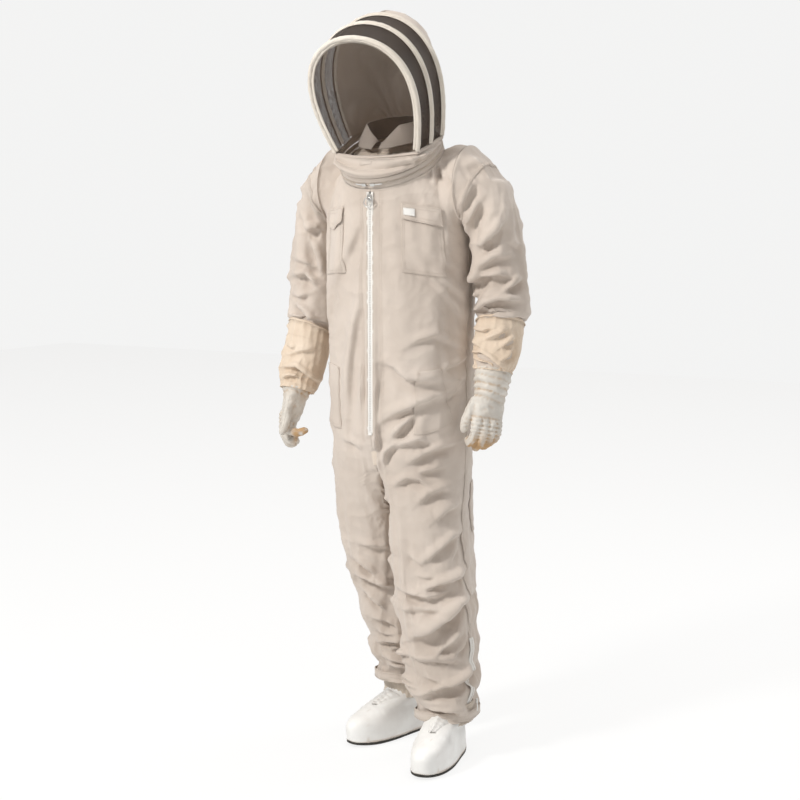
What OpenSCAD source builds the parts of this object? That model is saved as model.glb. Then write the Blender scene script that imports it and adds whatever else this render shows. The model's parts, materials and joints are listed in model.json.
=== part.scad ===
// Beekeeping suit: a zipped coverall with a three-hoop veil hood, gauntlet gloves and short boots.
// It stands as if it were worn. Millimetres, +Z up, the chest faces -Y and the wearer's left is +X.

/* [Cloth] */
// Thickness of the coverall's walls
cloth = 3; // [2:0.5:4]
// Gap left between pieces that move past each other
play = 0.5; // [0.4:0.1:0.8]

/* [Torso] */
// Half the width across the chest, which is also the plane of each armhole
chest_half = 194; // [190:1:197]
// Distance from the middle of the body to the front zip
front_depth = 148; // [144:1:152]
// Radius of each armhole
armhole_r = 100; // [95:1:102]
// Height of the armhole's middle above the floor
armhole_z = 1438; // [1433:1:1443]

/* [Neck and hood] */
// Radius of the zip that joins the hood to the neckline
neck_r = 132; // [129:1:134]
// How far the neckline slopes down to the front, in degrees
neck_tilt = 32; // [30:1:34]
// Diameter of a veil hoop in its cotton sleeve
hoop_d = 11; // [8:0.5:12]
// Number of straight steps along a hoop
hoop_steps = 24; // [16:2:28]

/* [Zips] */
// Width of each front zip tape
tape_w = 7; // [5:0.5:8]
// Diameter of the ring on the front zip
ring_d = 26; // [20:1:30]

/* [Boots] */
// Thickness of a boot sole
sole_t = 16; // [12:1:20]
// How far the left boot turns outwards, in degrees
toe_out_left = 11; // [8:1:14]
// How far the right boot turns outwards, in degrees
toe_out_right = 14; // [10:1:17]

/* [Hidden] */
$fn = 48;

cotton = [0.90, 0.84, 0.78];
cotton_dark = [0.80, 0.73, 0.66];
zip_white = [0.97, 0.95, 0.92];
mesh_dark = [0.16, 0.12, 0.10];
gauntlet_cotton = [0.97, 0.86, 0.72];
goatskin = [0.93, 0.90, 0.85];
boot_white = [0.96, 0.95, 0.93];
sole_dark = [0.10, 0.09, 0.08];

// The suit's middle, seen from above, lies this far from the middle of the torso.
middle = [0, -41];

square_power = 2 / 2.7;   // makes the torso's sections a little square
hem_z = 745;              // where the torso meets the legs
armpit_z = armhole_z - armhole_r;
armhole_y = 15;
panel_gap = tape_w + 2.5; // half the width between the two front panels
zip_top_z = 1424;
zip_bottom_z = 825;
neckline = [0, -35, 1500];
neck_normal = [0, -sin(neck_tilt), cos(neck_tilt)];
neck_band = 14;           // height of each neck zip tape
neck_zip = neckline + neck_band * neck_normal;

// ---------- points and walls ----------

function mix(a, b, t) = a + (b - a) * t;
function unit(v) = v / norm(v);
function power(v, p) = sign(v) * pow(abs(v), p);
function flip(p) = [-p[0], p[1], p[2]];
function backwards(row) = [for (i = [len(row) - 1:-1:0]) row[i]];
function joined(list) = [for (part = list) for (item = part) item];
// Each point moved by t towards the point that aim(p) gives, inside the body.
function inwards(rows, t, aims) =
    [for (r = [0:len(rows) - 1]) [for (p = rows[r]) p + t * unit(aims[r](p) - p)]];

// Faces of a grid of quads whose points start at number s, turned over if back is true.
function grid(s, rows, cols, loop, back) = joined([
    for (r = [0:rows - 2], c = [0:cols - (loop ? 1 : 2)])
        let (
            a = s + r * cols + c,
            b = s + r * cols + (c + 1) % cols,
            d = a + cols,
            e = b + cols
        )
        back ? [[a, d, b], [b, d, e]] : [[a, b, d], [b, e, d]]
]);

// Faces of the rim between the outer edge from a to b and the inner one, whose numbers are n higher.
function rim(a, b, n) = [[a, b, n + b], [a, n + b, n + a]];

// A wall between two grids of points of the same size. A loop's last column joins its first.
module wall(outer, inner, loop = false) {
    rows = len(outer);
    cols = len(outer[0]);
    n = rows * cols;
    ends = joined([for (c = [0:cols - (loop ? 1 : 2)]) let (e = (c + 1) % cols, t = n - cols) concat(
        rim(c, e, n),
        rim(t + e, t + c, n)
    )]);
    sides = loop ? [] : joined([for (r = [0:rows - 2]) let (a = r * cols, b = a + cols, e = cols - 1) concat(
        rim(b, a, n),
        rim(a + e, b + e, n)
    )]);
    polyhedron(
        points = concat(joined(outer), joined(inner)),
        faces = concat(
            grid(0, rows, cols, loop, true), grid(n, rows, cols, loop, false), ends, sides
        ),
        convexity = 6
    );
}

// A closed tube of the given radius along a line of points.
module tube(line, radius, sides = 8) {
    n = len(line);
    function along(i) = unit(line[min(i + 1, n - 1)] - line[max(i - 1, 0)]);
    function side(i) = unit(cross(along(i), [0.31, 0.12, 0.94]));
    rings = [for (i = [0:n - 1]) [for (k = [0:sides - 1]) let (a = 360 * k / sides)
        line[i] + radius * (cos(a) * side(i) + sin(a) * cross(along(i), side(i)))]];
    polyhedron(
        points = joined(rings),
        faces = concat(
            grid(0, n, sides, true, true),
            [[for (k = [0:sides - 1]) k], [for (k = [sides - 1:-1:0]) (n - 1) * sides + k]]
        ),
        convexity = 6
    );
}

// ---------- torso ----------

// Height, half width, front and back of each level of the torso, from the crotch to the armpits.
torso_levels = [
    [hem_z, 190, -124, 132],
    [zip_bottom_z - 2, 191, -front_depth, 141],
    [900, 190, -front_depth, 143],
    [990, 189, -front_depth, 137],
    [1090, 188, -front_depth, 131],
    [1200, chest_half - 3, -front_depth, 133],
    [armpit_z, chest_half, -front_depth, 138]
];
torso_cols = 10;
rows_to_shoulder = 5;
neckline_share = 0.7;     // the part of a panel's top edge that is neckline, not shoulder
shoulder_turn = 112;      // degrees round the neckline, from the front, at which the shoulder seam starts
shoulder_tip = [chest_half, armhole_y, armhole_z + armhole_r];

function neck_point(a, centre = neckline, r = neck_r) =
    centre + r * [sin(a), -cos(a) * cos(neck_tilt), -cos(a) * sin(neck_tilt)];

// One level of a panel, from the middle of the front or back to the side seam.
function level_row(level, front) = [for (c = [0:torso_cols]) let (
    a = 90 * c / torso_cols,
    start = front ? panel_gap : 0,
    y = front ? level[2] : level[3]
) [
    start + (level[1] - start) * power(sin(a), square_power),
    mix(armhole_y, y, power(cos(a), square_power)),
    level[0]
]];

// The panel's top edge: along the neckline, then along the shoulder seam.
function top_row(front) = [for (c = [0:torso_cols]) let (
    t = c / torso_cols,
    first = front ? asin(panel_gap / neck_r) : 180,
    p = neck_point(mix(first, shoulder_turn, min(t / neckline_share, 1)))
) t <= neckline_share ? p
    : mix(neck_point(shoulder_turn), shoulder_tip, (t - neckline_share) / (1 - neckline_share))];

// A row between armpit and shoulder, with its outer end on the armhole.
function upper_row(t, front) = let (
    low = level_row(torso_levels[len(torso_levels) - 1], front),
    high = top_row(front),
    turn = 180 * t,
    on_armhole = [
        chest_half,
        armhole_y + (front ? -1 : 1) * armhole_r * sin(turn),
        armhole_z - armhole_r * cos(turn)
    ],
    pull = on_armhole - mix(low[torso_cols], high[torso_cols], t)
) [for (c = [0:torso_cols]) mix(low[c], high[c], t) + pull * pow(c / torso_cols, 2.5)];

function panel_rows(front) = concat(
    [for (level = torso_levels) level_row(level, front)],
    [for (i = [1:rows_to_shoulder]) upper_row(i / rows_to_shoulder, front)]
);

// The point inside the torso that its wall faces. A front panel's inner edge moves straight back.
torso_heart = function(p) [p[0] * 0.3, 0, min(p[2], 1330)];
front_heart = function(p) [max(p[0] * 0.3, panel_gap), 0, min(p[2], 1330)];
function hearts(rows, f) = [for (r = rows) f];

module front_panel() {
    rows = panel_rows(true);
    color(cotton) wall(rows, inwards(rows, cloth, hearts(rows, front_heart)));
}

module back_panel() {
    half = panel_rows(false);
    rows = [for (r = half) concat(backwards(r), [for (i = [1:torso_cols]) flip(r[i])])];
    color(cotton) wall(rows, inwards(rows, cloth, hearts(rows, torso_heart)));
}

// Closes the front from the bottom of the zip to the crotch.
module centre_seam_tape() {
    color(cotton_dark) translate([-panel_gap + play, -124, hem_z + 2]) rotate([asin(24 / 78), 0, 0])
        cube([2 * (panel_gap - play), cloth, 76]);
}

// ---------- legs ----------

// Height, middle x and y, outer and inner half widths and half depth of each level, from the hem up.
leg_left_levels = [
    [112, 162, -38, 71, 74, 82],
    [140, 160, -37, 78, 82, 92],
    [200, 152, -35, 86, 88, 100],
    [300, 138, -31, 96, 91, 107],
    [400, 124, -25, 104, 94, 112],
    [500, 109, -17, 98, 93, 116],
    [600, 97, -8, 90, 91, 120],
    [690, 44, 2, 146, 41, 126],
    [hem_z, 0, 4, 190, 0, 128]
];
leg_right_levels = [
    [112, 25, 88, 70, 71, 76],
    [140, 26, 87, 72, 74, 86],
    [200, 30, 82, 76, 78, 92],
    [300, 40, 70, 82, 82, 98],
    [400, 59, 52, 94, 83, 106],
    [500, 76, 34, 96, 82, 112],
    [600, 86, 16, 98, 84, 118],
    [690, 44, 8, 146, 41, 124],
    [hem_z, 0, 4, 190, 0, 128]
];
leg_cols = 12;

function leg_row(level, first) = [for (c = [0:leg_cols]) let (
    a = first + 180 * c / leg_cols,
    half = cos(a) > 0 ? level[3] : level[4]
) [
    level[1] + half * power(cos(a), square_power),
    level[2] + level[5] * power(sin(a), square_power),
    level[0]
]];

// The front half of a leg runs from inseam to outseam, and the back half from outseam to inseam.
module leg_panel(levels, front) {
    rows = [for (level = levels) leg_row(level, front ? 180 : 0)];
    aims = [for (level = levels) function(p) [level[1] + (level[3] - level[4]) / 2, level[2], level[0]]];
    color(cotton) wall(rows, inwards(rows, cloth, aims));
}

module leg_panel_right(front) {
    mirror([1, 0, 0]) leg_panel(leg_right_levels, front);
}

ankle_left = [162, -38];
ankle_right = [-25, 88];
cuff_r = 67;
cuff_h = 26;
cuff_z = 122;

// The elastic band that gathers a trouser hem over the boot.
module ankle_cuff(at) {
    color(cotton) translate([at[0], at[1], cuff_z]) difference() {
        cylinder(r = cuff_r, h = cuff_h);
        translate([0, 0, -1]) cylinder(r = cuff_r - cloth, h = cuff_h + 2);
    }
}

// ---------- sleeves and gloves ----------

sleeve_cols = 18;
armpit = [chest_half + play, armhole_y, armpit_z];
// Angle about the armpit and radius of each ring that turns the sleeve from the armhole down to the arm.
left_shoulder = [[0, armhole_r], [20, 88], [40, 77], [60, 73], [78, 73]];
right_shoulder = [[0, armhole_r], [20, 86], [40, 73], [60, 66], [78, 66]];
// Each arm's elbow, the way that its forearm and glove point, and the rings of its shoulder.
left_arm = [[271, 42, 1145], unit([-5, -46, -184]), left_shoulder];
right_arm = [[273, 27, 1122], unit([14, -66, -200]), right_shoulder];
// The elastic end of the sleeve starts this far past the elbow.
sleeve_end = 165;
// Middle, radius and direction of each ring below the shoulder.
function arm_rings(arm) = concat(
    [
        [mix(armpit + [76, 0, 0], arm[0], 0.45) + [0, 6, 0], 75, [0.05, 0.15, -1]],
        [arm[0], 76, [0, -0.05, -1]]
    ],
    [for (d = [[38, 70], [56, 56], [120, 50], [sleeve_end, 45]]) [past_elbow(arm, d[0]), d[1], arm[1]]]
);
function past_elbow(arm, distance) = arm[0] + distance * arm[1];

// A ring of points about a middle, square to a direction. It starts at the outer side of the arm.
function ring_about(middle, r, along, cols = sleeve_cols) = let (
    n = unit(along),
    out = unit([1, 0, 0] - n[0] * n),
    side = cross(n, out)
) [for (c = [0:cols - 1]) let (a = 360 * c / cols) middle + r * (cos(a) * out + sin(a) * side)];

function shoulder_ring(turn, r, t) =
    ring_round(armpit + r * [sin(turn), 0, cos(turn)], r - t, [cos(turn), 0, -sin(turn)]);
function ring_round(middle, r, n) = let (up = [-n[2], 0, n[0]]) [for (c = [0:sleeve_cols - 1])
    let (a = 360 * c / sleeve_cols) middle + r * (cos(a) * up + sin(a) * cross(n, up))];
function sleeve_rings(arm, t) = concat(
    [for (s = arm[2]) shoulder_ring(s[0], s[1], t)],
    [for (a = arm_rings(arm)) ring_about(a[0], a[1] - t, a[2])]
);

module sleeve(arm) {
    color(cotton) wall(sleeve_rings(arm, 0), sleeve_rings(arm, cloth), loop = true);
}

// Turns children so that their +Z points along the forearm, with their origin past the elbow.
module on_forearm(arm, distance) {
    yaw = atan2(arm[1][1], arm[1][0]);
    pitch = acos(arm[1][2]);
    translate(past_elbow(arm, distance)) rotate([0, 0, yaw]) rotate([0, pitch, 0]) rotate([0, 0, -yaw])
        children();
}

// The knitted elastic at the end of the sleeve, inside the gauntlet.
module wrist_cuff(arm) {
    color(cotton_dark) on_forearm(arm, sleeve_end) difference() {
        cylinder(r = 43, h = 28);
        translate([0, 0, -1]) cylinder(r = 43 - cloth, h = 30);
    }
}

gauntlet_end = 228;
// Distance past the elbow and radius of each ring of the gauntlet.
gauntlet_rings = [[62, 62], [90, 65], [130, 64], [170, 62], [205, 56], [gauntlet_end, 46]];

module gauntlet(arm) {
    function rings(t) = [for (g = gauntlet_rings)
        ring_about(past_elbow(arm, g[0]), g[1] - t, arm[1], 16)];
    color(gauntlet_cotton) wall(rings(0), rings(cloth), loop = true);
}

// Degrees that each hand is turned in, so that its back faces partly forwards.
left_hand_turn = 35;
right_hand_turn = 5;

module ball(p, r) {
    translate(p) sphere(r = r, $fn = 14);
}

// The leather hand, with its palm to the thigh and its fingers half curled. Its +Z is down the arm.
module glove(arm, turn) {
    color(goatskin) on_forearm(arm, gauntlet_end) rotate([0, 0, turn]) difference() {
        union() {
            hull() {
                scale([0.8, 0.95, 1]) cylinder(r = 45, h = 6, $fn = 20);
                for (y = [30, -26]) ball([0, y, 84], 17);
            }
            for (f = [[32, 70], [11, 78], [-10, 74], [-29, 62]])
                hull() {
                    ball([0, f[0], 86], 12);
                    ball([-12, f[0], 86 + f[1] * 0.5], 11);
                }
            hull() {
                ball([-4, 38, 40], 14);
                ball([-14, 58, 92], 12);
            }
        }
        hull() {
            translate([0, 0, -1]) scale([0.72, 0.9, 1]) cylinder(r = 42, h = 6, $fn = 20);
            for (y = [20, -16]) ball([0, y, 66], 12);
        }
    }
}

// ---------- neck, collar and neck zip ----------

collar_r = 68;
collar_base = [0, -22, 1548];
collar_h = 34;
neck_cols = 30;

// The cloth inside the hood, from the neckline up to the collar.
module neck_facing() {
    function ring(t, off) = [for (c = [0:neck_cols - 1]) let (a = 360 * c / neck_cols)
        mix(
            neck_point(a, neckline + 2 * neck_normal, neck_r - cloth - 3),
            collar_base + (collar_r - 1) * [sin(a), -cos(a), -0.25 * cos(a)],
            t
        ) + [0, 0, 10 * sin(180 * t) - off]];
    function rows(off) = [for (t = [0, 0.33, 0.66, 1]) ring(t, off)];
    color(cotton_dark) wall([for (r = rows(0)) r], [for (r = rows(cloth)) r], loop = true);
}

module at_collar() {
    translate(collar_base + [0, 0, 2]) rotate([atan(0.25), 0, 0]) children();
}

// A ring sector about the collar's axis, from degree a for a given sweep, of a profile at radius 0.
module sector(a, sweep) {
    rotate([0, 0, a]) rotate_extrude(angle = sweep) children();
}

module collar_stand() {
    color(cotton) at_collar() sector(-90 + 16, 328) translate([collar_r - 4, 0]) square([2, collar_h]);
}

// One half of the turned-down collar. It ends in a point beside the throat.
module collar_leaf_at(first) {
    color(cotton) at_collar() sector(first, 150)
        translate([collar_r, 0]) polygon([[-1, collar_h + 1], [1, collar_h + 3], [24, 7], [21, 6]]);
}

module on_neck_zip() {
    translate(neck_zip) rotate([neck_tilt, 0, 0]) children();
}

module neck_tape(low) {
    color(zip_white) on_neck_zip() translate([0, 0, low]) difference() {
        cylinder(r = neck_r, h = neck_band - 2);
        translate([0, 0, -1]) cylinder(r = neck_r - 1.5, h = neck_band);
    }
}

module neck_zip_teeth() {
    color(zip_white) on_neck_zip() rotate_extrude() translate([neck_r - 1, 0]) square([2, 3], center = true);
}

// A slider that runs round the neck zip, with its pull tab lying along the tape.
module neck_zip_slider(side) {
    color(zip_white) on_neck_zip() {
        sector(-90 + side * 5 - 2.4, 4.8) translate([neck_r + play, -3.5]) square([4, 7]);
        sector(-90 + side * 8 + (side > 0 ? -1 : -8), 9) translate([neck_r + 2, -1.5]) square([1.4, 3]);
    }
}

// ---------- hood ----------

// Foot and top of each arch of the hood as y and z, then half width at the foot and extra bulge.
arches = [
    [[-112, 1508], [-243, 1786], 112, 56],   // front hoop
    [[-64, 1528], [-178, 1826], 122, 50],    // middle hoop
    [[-18, 1548], [-112, 1852], 128, 46],    // rear hoop
    [[12, 1562], [-64, 1866], 116, 32],
    [[36, 1574], [-12, 1846], 104, 26],
    [[54, 1582], [30, 1786], 92, 22],
    [[66, 1586], [60, 1702], 80, 17],
    [[76, 1589], [78, 1630], 66, 12],
    [[83, 1591], [86, 1600], 48, 6]
];
arch_cols = 20;
arch_start = 2;           // degrees up the arch at which its cloth begins

function arch_point(arch, a, inset = 0) = let (
    rise = sin(a),
    top = unit(arch[1] - arch[0]),
    side = (arch[2] - inset) * cos(a) + arch[3] * sin(2 * a),
    foot = arch[0] + (arch[1] - arch[0] - inset * top) * rise
) [side, foot[0], foot[1]];
function arch_row(arch, inset = 0) =
    [for (c = [0:arch_cols]) arch_point(arch, mix(180 - arch_start, arch_start, c / arch_cols), inset)];
function between(a, b, t) = [mix(a[0], b[0], t), mix(a[1], b[1], t), mix(a[2], b[2], t), mix(a[3], b[3], t)];

// A strip of the hood between two arches, set in from the hoops' middles.
module hood_strip(list, t, set_in) {
    wall([for (a = list) arch_row(a, set_in)], [for (a = list) arch_row(a, set_in + t)]);
}

veil_t = 1.5;
hoop_r = hoop_d / 2;

module hoop(arch) {
    color(cotton) tube([for (i = [0:hoop_steps]) arch_point(arch, mix(3, 177, i / hoop_steps))], hoop_r);
}

module hood_back() {
    first = between(arches[2], arches[3], 0.16);
    color(cotton) hood_strip(concat([first], [for (i = [3:len(arches) - 1]) arches[i]]), cloth, 0);
}

// The netting between two hoops.
module veil_strip(i) {
    list = [for (t = [0.16, 0.5, 0.84]) between(arches[i], arches[i + 1], t)];
    color(mesh_dark) hood_strip(list, veil_t, 0);
}

// The netting across the face, inside the front hoop. It bows forward a little.
module veil_front() {
    arch = arches[0];
    inset = hoop_r + 1;
    bow = 22;
    lean = unit(arch[1] - arch[0]);
    function face_row(a, off) = let (
        w = (arch[2] - inset) * cos(a) + arch[3] * sin(2 * a) - 1,
        p = arch[0] + (norm(arch[1] - arch[0]) - inset) * sin(a) * lean
    ) [for (u = [-1:0.125:1]) [u * w, p[0], p[1]]
        + (bow * sin(2 * a) * (1 - u * u) + off) * [0, -lean[1], lean[0]]];
    steps = [3:9:84];
    color(mesh_dark) wall([for (a = steps) face_row(a, 0)], [for (a = steps) face_row(a, -veil_t)]);
}

// The points where the band under the veil meets the hood, from the front round the left side to the back.
hood_edge = concat(
    [[0, -134, 1508], [58, -130, 1510]],
    [for (a = arches) arch_point(a, arch_start) - [0, 0, 1]],
    [[0, 88, 1592]]
);

// The cotton band under the veil, which bulges over the neck zip in front.
module hood_bib() {
    foot = neck_zip + (neck_band + 2 * play) * neck_normal;
    // The band stands upright in front and lies flat behind, so its thickness turns from inwards to upwards.
    function column(p, in, t) = let (
        a = atan2(p[0], (foot[1] - p[1]) / cos(neck_tilt)),
        front = max(cos(a), 0),
        flat = min(max(-1.6 * cos(a), 0), 1),
        side = in * (1 - flat),
        edge = p - [0, 0, cloth * flat] + [-side * sin(a), side * cos(a), in * flat]
    ) mix(neck_point(a, foot + in * flat * neck_normal, neck_r - side), edge, t)
        + sin(180 * t) * [5 * sin(a) * (1 - flat), -16 * front, 0];
    function ring(t, in) = let (half = [for (p = hood_edge) column(p, in, t)], n = len(half))
        concat(half, [for (i = [n - 2:-1:1]) flip(half[i])]);
    steps = [0, 0.3, 0.65, 1];
    color(cotton) wall([for (t = steps) ring(t, 0)], [for (t = steps) ring(t, cloth)], loop = true);
}

module bib_label() {
    color(cotton_dark) translate([-26, -175, 1487]) rotate([-8, 0, -6]) cube([40, 1, 16]);
}

// ---------- pockets ----------

// A point that stands off the left front panel, at a row and a column that need not be whole numbers.
function on_front(rows, r, c, off) = let (
    i = floor(r),
    j = floor(c),
    low = mix(rows[i][j], rows[i][j + 1], c - j),
    high = mix(rows[i + 1][j], rows[i + 1][j + 1], c - j),
    p = mix(low, high, r - i)
) p + off * unit(p - front_heart(p));

// A patch on the front panel between two columns, from a bottom row up to a row at its inner and outer end.
module patch(cols, bottom, top, off, thick) {
    panel = panel_rows(true);
    function row_at(s, t, foot) = mix(foot, mix(top[0], top[1], s), t);
    function grid_at(o) = [for (t = [0:0.2:1]) [for (s = [0:0.125:1])
        on_front(panel, row_at(s, t, mix(bottom[0], bottom[1], s)), mix(cols[0], cols[1], s), o)]];
    wall(grid_at(off + thick), grid_at(off));
}

pocket_bottom = [5.16, 5.16];
pocket_top = [6.3, 6.3];
flap_bottom = [6, 6];
flap_top = [7.7, 7.25];
left_pocket = [2.3, 6.9];
right_pocket = [2.6, 6.6];

module chest_pocket(cols) {
    color(cotton) patch(cols, pocket_bottom, pocket_top, 1.5, 1.6);
}

module pocket_flap(cols) {
    color(cotton) patch(cols + [-0.05, 0.05], flap_bottom, flap_top, 4.2, 2);
}

module pocket_label() {
    color(zip_white) patch([2.4, 3.8], [6.5, 6.45], [7.15, 7.05], 6.4, 0.6);
}

// A pocket bag that lies on the hip, sewn to the front panel.
module hip_pocket() {
    function rows(o) = [for (r = [0:4]) let (z = mix(832, 985, r / 4), level = hip_level(z))
        [for (c = [0:4]) let (a = mix(44, 74, c / 4)) [
            panel_gap + (level[0] + o - panel_gap) * power(sin(a), square_power),
            armhole_y - (front_depth + armhole_y + o) * power(cos(a), square_power), z
        ]]];
    function hip_level(z) = z > 900 ? [mix(190, 189, (z - 900) / 90)] : [mix(191, 190, (z - 823) / 77)];
    color(cotton) wall(rows(3), rows(1.4));
}

// The long narrow pocket on the back of the left thigh.
module tool_pocket() {
    levels = [[560, 101, -1, 92, 94, 119], [600, 97, 0, 90, 92, 121], [690, 44, 2, 146, 41, 126]];
    function rows(o) = [for (level = levels) [for (c = [0:4]) let (a = mix(24, 58, c / 4)) [
        level[1] + (level[3] + o) * power(cos(a), square_power),
        level[2] + (level[5] + o) * power(sin(a), square_power),
        level[0]
    ]]];
    color(cotton) wall(rows(5), rows(3));
}

// ---------- front zip ----------

teeth_w = 4;
slider_z = 1410;

module front_zip_tape() {
    color(zip_white) translate([teeth_w / 2 + play / 2, -front_depth, zip_bottom_z])
        cube([tape_w, 1.5, zip_top_z - zip_bottom_z]);
}

module front_zip_teeth() {
    pitch = 6;
    color(zip_white) translate([0, -front_depth, zip_bottom_z + 4]) {
        translate([-0.6, 0.2, 0]) cube([1.2, 1, zip_top_z - zip_bottom_z - 8]);
        for (i = [0:floor((zip_top_z - zip_bottom_z - 12) / pitch)])
            translate([-teeth_w / 2, 0, 1 + i * pitch]) cube([teeth_w, 1.5, pitch * 0.55]);
    }
}

module front_zip_stop() {
    color(zip_white) translate([-5, -front_depth - 2, zip_bottom_z - 3]) cube([10, 1.6, 7]);
}

bail_reach = 8;           // from the slider's back to the hole that holds the ring
wire_r = 1.3;
module front_zip_slider() {
    color(zip_white) translate([0, -front_depth - play, slider_z]) {
        translate([-5, -4, -7]) cube([10, 4, 14]);
        difference() {
            translate([-1, -bail_reach - 4, -4]) cube([2, bail_reach, 8]);
            translate([-2, -bail_reach, 0]) rotate([0, 90, 0]) cylinder(r = 2 * wire_r, h = 4);
        }
    }
}

// The ring that the fingers pull. Its top passes through the hole in the slider's bail.
module front_zip_ring() {
    color(zip_white) translate([0, -front_depth - play - bail_reach, slider_z - ring_d / 2 + wire_r])
        rotate([90, 0, 0]) rotate_extrude() translate([ring_d / 2 - wire_r, 0]) circle(r = wire_r, $fn = 24);
}

// ---------- ankle zips ----------

// The closed zip in the outer seam above the hem, and the slider that opens it upwards.
module ankle_zip(levels) {
    function rows(off) = [for (i = [1:3]) let (l = levels[i]) [for (a = [-5, 5])
        [l[1] + (l[3] + off) * power(cos(a), square_power), l[2] + l[5] * power(sin(a), square_power), l[0]]
    ]];
    color(zip_white) wall(rows(2), rows(0.5));
}

module ankle_zip_slider(levels) {
    foot = [levels[1][1] + levels[1][3], levels[1][2], levels[1][0]];
    head = [levels[3][1] + levels[3][3], levels[3][2], levels[3][0]];
    lean = atan((head[0] - foot[0]) / (head[2] - foot[2]));
    color(zip_white) translate(foot + [5, 0, 4]) rotate([0, lean, 0]) {
        translate([0, -4, 0]) cube([3, 8, 11]);
        translate([3, -2, -22]) cube([1.2, 4, 30]);
    }
}

// ---------- boots ----------

// Height, toe, heel and half width of each level of a boot.
boot_levels = [
    [sole_t, -214, 74, 50],
    [42, -222, 78, 53],
    [62, -212, 76, 52],
    [80, -172, 73, 48],
    [96, -124, 70, 45],
    [106, -84, 66, 44],
    [122, -61, 62, 43],
    [150, -56, 58, 43],
    [210, -54, 56, 43]
];
boot_cols = 20;

// A boot's outline: a long oval with a fuller toe than heel.
function boot_ring(level, t) = [for (c = [0:boot_cols - 1]) let (
    a = 360 * c / boot_cols,
    mid = (level[1] + level[2]) / 2,
    half = (level[2] - level[1]) / 2 - t,
    y = mid + half * sin(a),
    waist = 1 - 0.1 * exp(-pow((y + 40) / 60, 2)) * (level[0] < 90 ? 1 : 0)
) [(level[3] - t) * waist * power(cos(a), 0.86), y, level[0]]];

module left_boot() {
    translate([ankle_left[0], ankle_left[1], 0]) rotate([0, 0, toe_out_left]) children();
}
module right_boot() {
    translate([ankle_right[0], ankle_right[1], 0]) rotate([0, 0, -toe_out_right]) children();
}

module boot_upper() {
    color(boot_white) wall(
        [for (l = boot_levels) boot_ring(l, 0)], [for (l = boot_levels) boot_ring(l, cloth)], loop = true
    );
}

module boot_sole() {
    level = [0, -218, 78, 54];
    color(sole_dark) linear_extrude(height = sole_t)
        polygon([for (p = boot_ring(level, 0)) [p[0], p[1]]]);
}

// The gathered tongue that stands above the instep.
module boot_tongue() {
    color(boot_white) hull() {
        translate([-24, -88, 107]) cube([48, 2, 4]);
        translate([-8, -132, 98]) cube([16, 3, 2]);
    }
}

// ---------- the suit ----------

module placed() {
    translate([-middle[0], -middle[1], 0]) children();
}
module right() {
    mirror([1, 0, 0]) children();
}
placed() front_panel();  // front_panel_left
placed() right() front_panel();  // front_panel_right
placed() back_panel();
placed() centre_seam_tape();
placed() leg_panel(leg_left_levels, true);  // leg_front_left
placed() leg_panel(leg_left_levels, false);  // leg_back_left
placed() leg_panel_right(true);  // leg_front_right
placed() leg_panel_right(false);  // leg_back_right
placed() ankle_cuff(ankle_left);  // ankle_cuff_left
placed() ankle_cuff(ankle_right);  // ankle_cuff_right
placed() sleeve(left_arm);  // sleeve_left
placed() right() sleeve(right_arm);  // sleeve_right
placed() wrist_cuff(left_arm);  // wrist_cuff_left
placed() right() wrist_cuff(right_arm);  // wrist_cuff_right
placed() neck_facing();
placed() collar_stand();
placed() collar_leaf_at(-68);  // collar_leaf_left
placed() collar_leaf_at(98);  // collar_leaf_right
placed() chest_pocket(left_pocket);  // chest_pocket_left
placed() right() chest_pocket(right_pocket);  // chest_pocket_right
placed() pocket_flap(left_pocket);  // pocket_flap_left
placed() right() pocket_flap(right_pocket);  // pocket_flap_right
placed() pocket_label();
placed() hip_pocket();  // hip_pocket_left
placed() right() hip_pocket();  // hip_pocket_right
placed() tool_pocket();
placed() front_zip_tape();  // front_zip_tape_left
placed() right() front_zip_tape();  // front_zip_tape_right
placed() front_zip_teeth();
placed() front_zip_stop();
placed() front_zip_slider();
placed() front_zip_ring();
placed() neck_tape(-neck_band);  // neck_zip_lower_tape
placed() neck_tape(2);  // neck_zip_upper_tape
placed() neck_zip_teeth();
placed() neck_zip_slider(1);  // neck_zip_slider_left
placed() neck_zip_slider(-1);  // neck_zip_slider_right
placed() ankle_zip(leg_left_levels);  // ankle_zip_left
placed() right() ankle_zip(leg_right_levels);  // ankle_zip_right
placed() ankle_zip_slider(leg_left_levels);  // ankle_zip_slider_left
placed() right() ankle_zip_slider(leg_right_levels);  // ankle_zip_slider_right
placed() hood_back();
placed() hood_bib();
placed() bib_label();
placed() veil_front();
placed() veil_strip(0);  // veil_middle
placed() veil_strip(1);  // veil_rear
placed() hoop(arches[0]);  // hoop_front
placed() hoop(arches[1]);  // hoop_middle
placed() hoop(arches[2]);  // hoop_rear
placed() gauntlet(left_arm);  // gauntlet_left
placed() right() gauntlet(right_arm);  // gauntlet_right
placed() glove(left_arm, left_hand_turn);  // glove_left
placed() right() glove(right_arm, right_hand_turn);  // glove_right
placed() left_boot() boot_upper();  // boot_upper_left
placed() right_boot() boot_upper();  // boot_upper_right
placed() left_boot() boot_sole();  // boot_sole_left
placed() right_boot() boot_sole();  // boot_sole_right
placed() left_boot() boot_tongue();  // boot_tongue_left
placed() right_boot() boot_tongue();  // boot_tongue_right
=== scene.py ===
"""A beekeeping suit standing as if it were worn: coverall, hooped veil hood, gauntlet gloves and short boots."""
import json
import math

import bmesh
import bpy
import numpy as np
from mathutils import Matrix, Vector, noise
from mathutils.bvhtree import BVHTree


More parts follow.
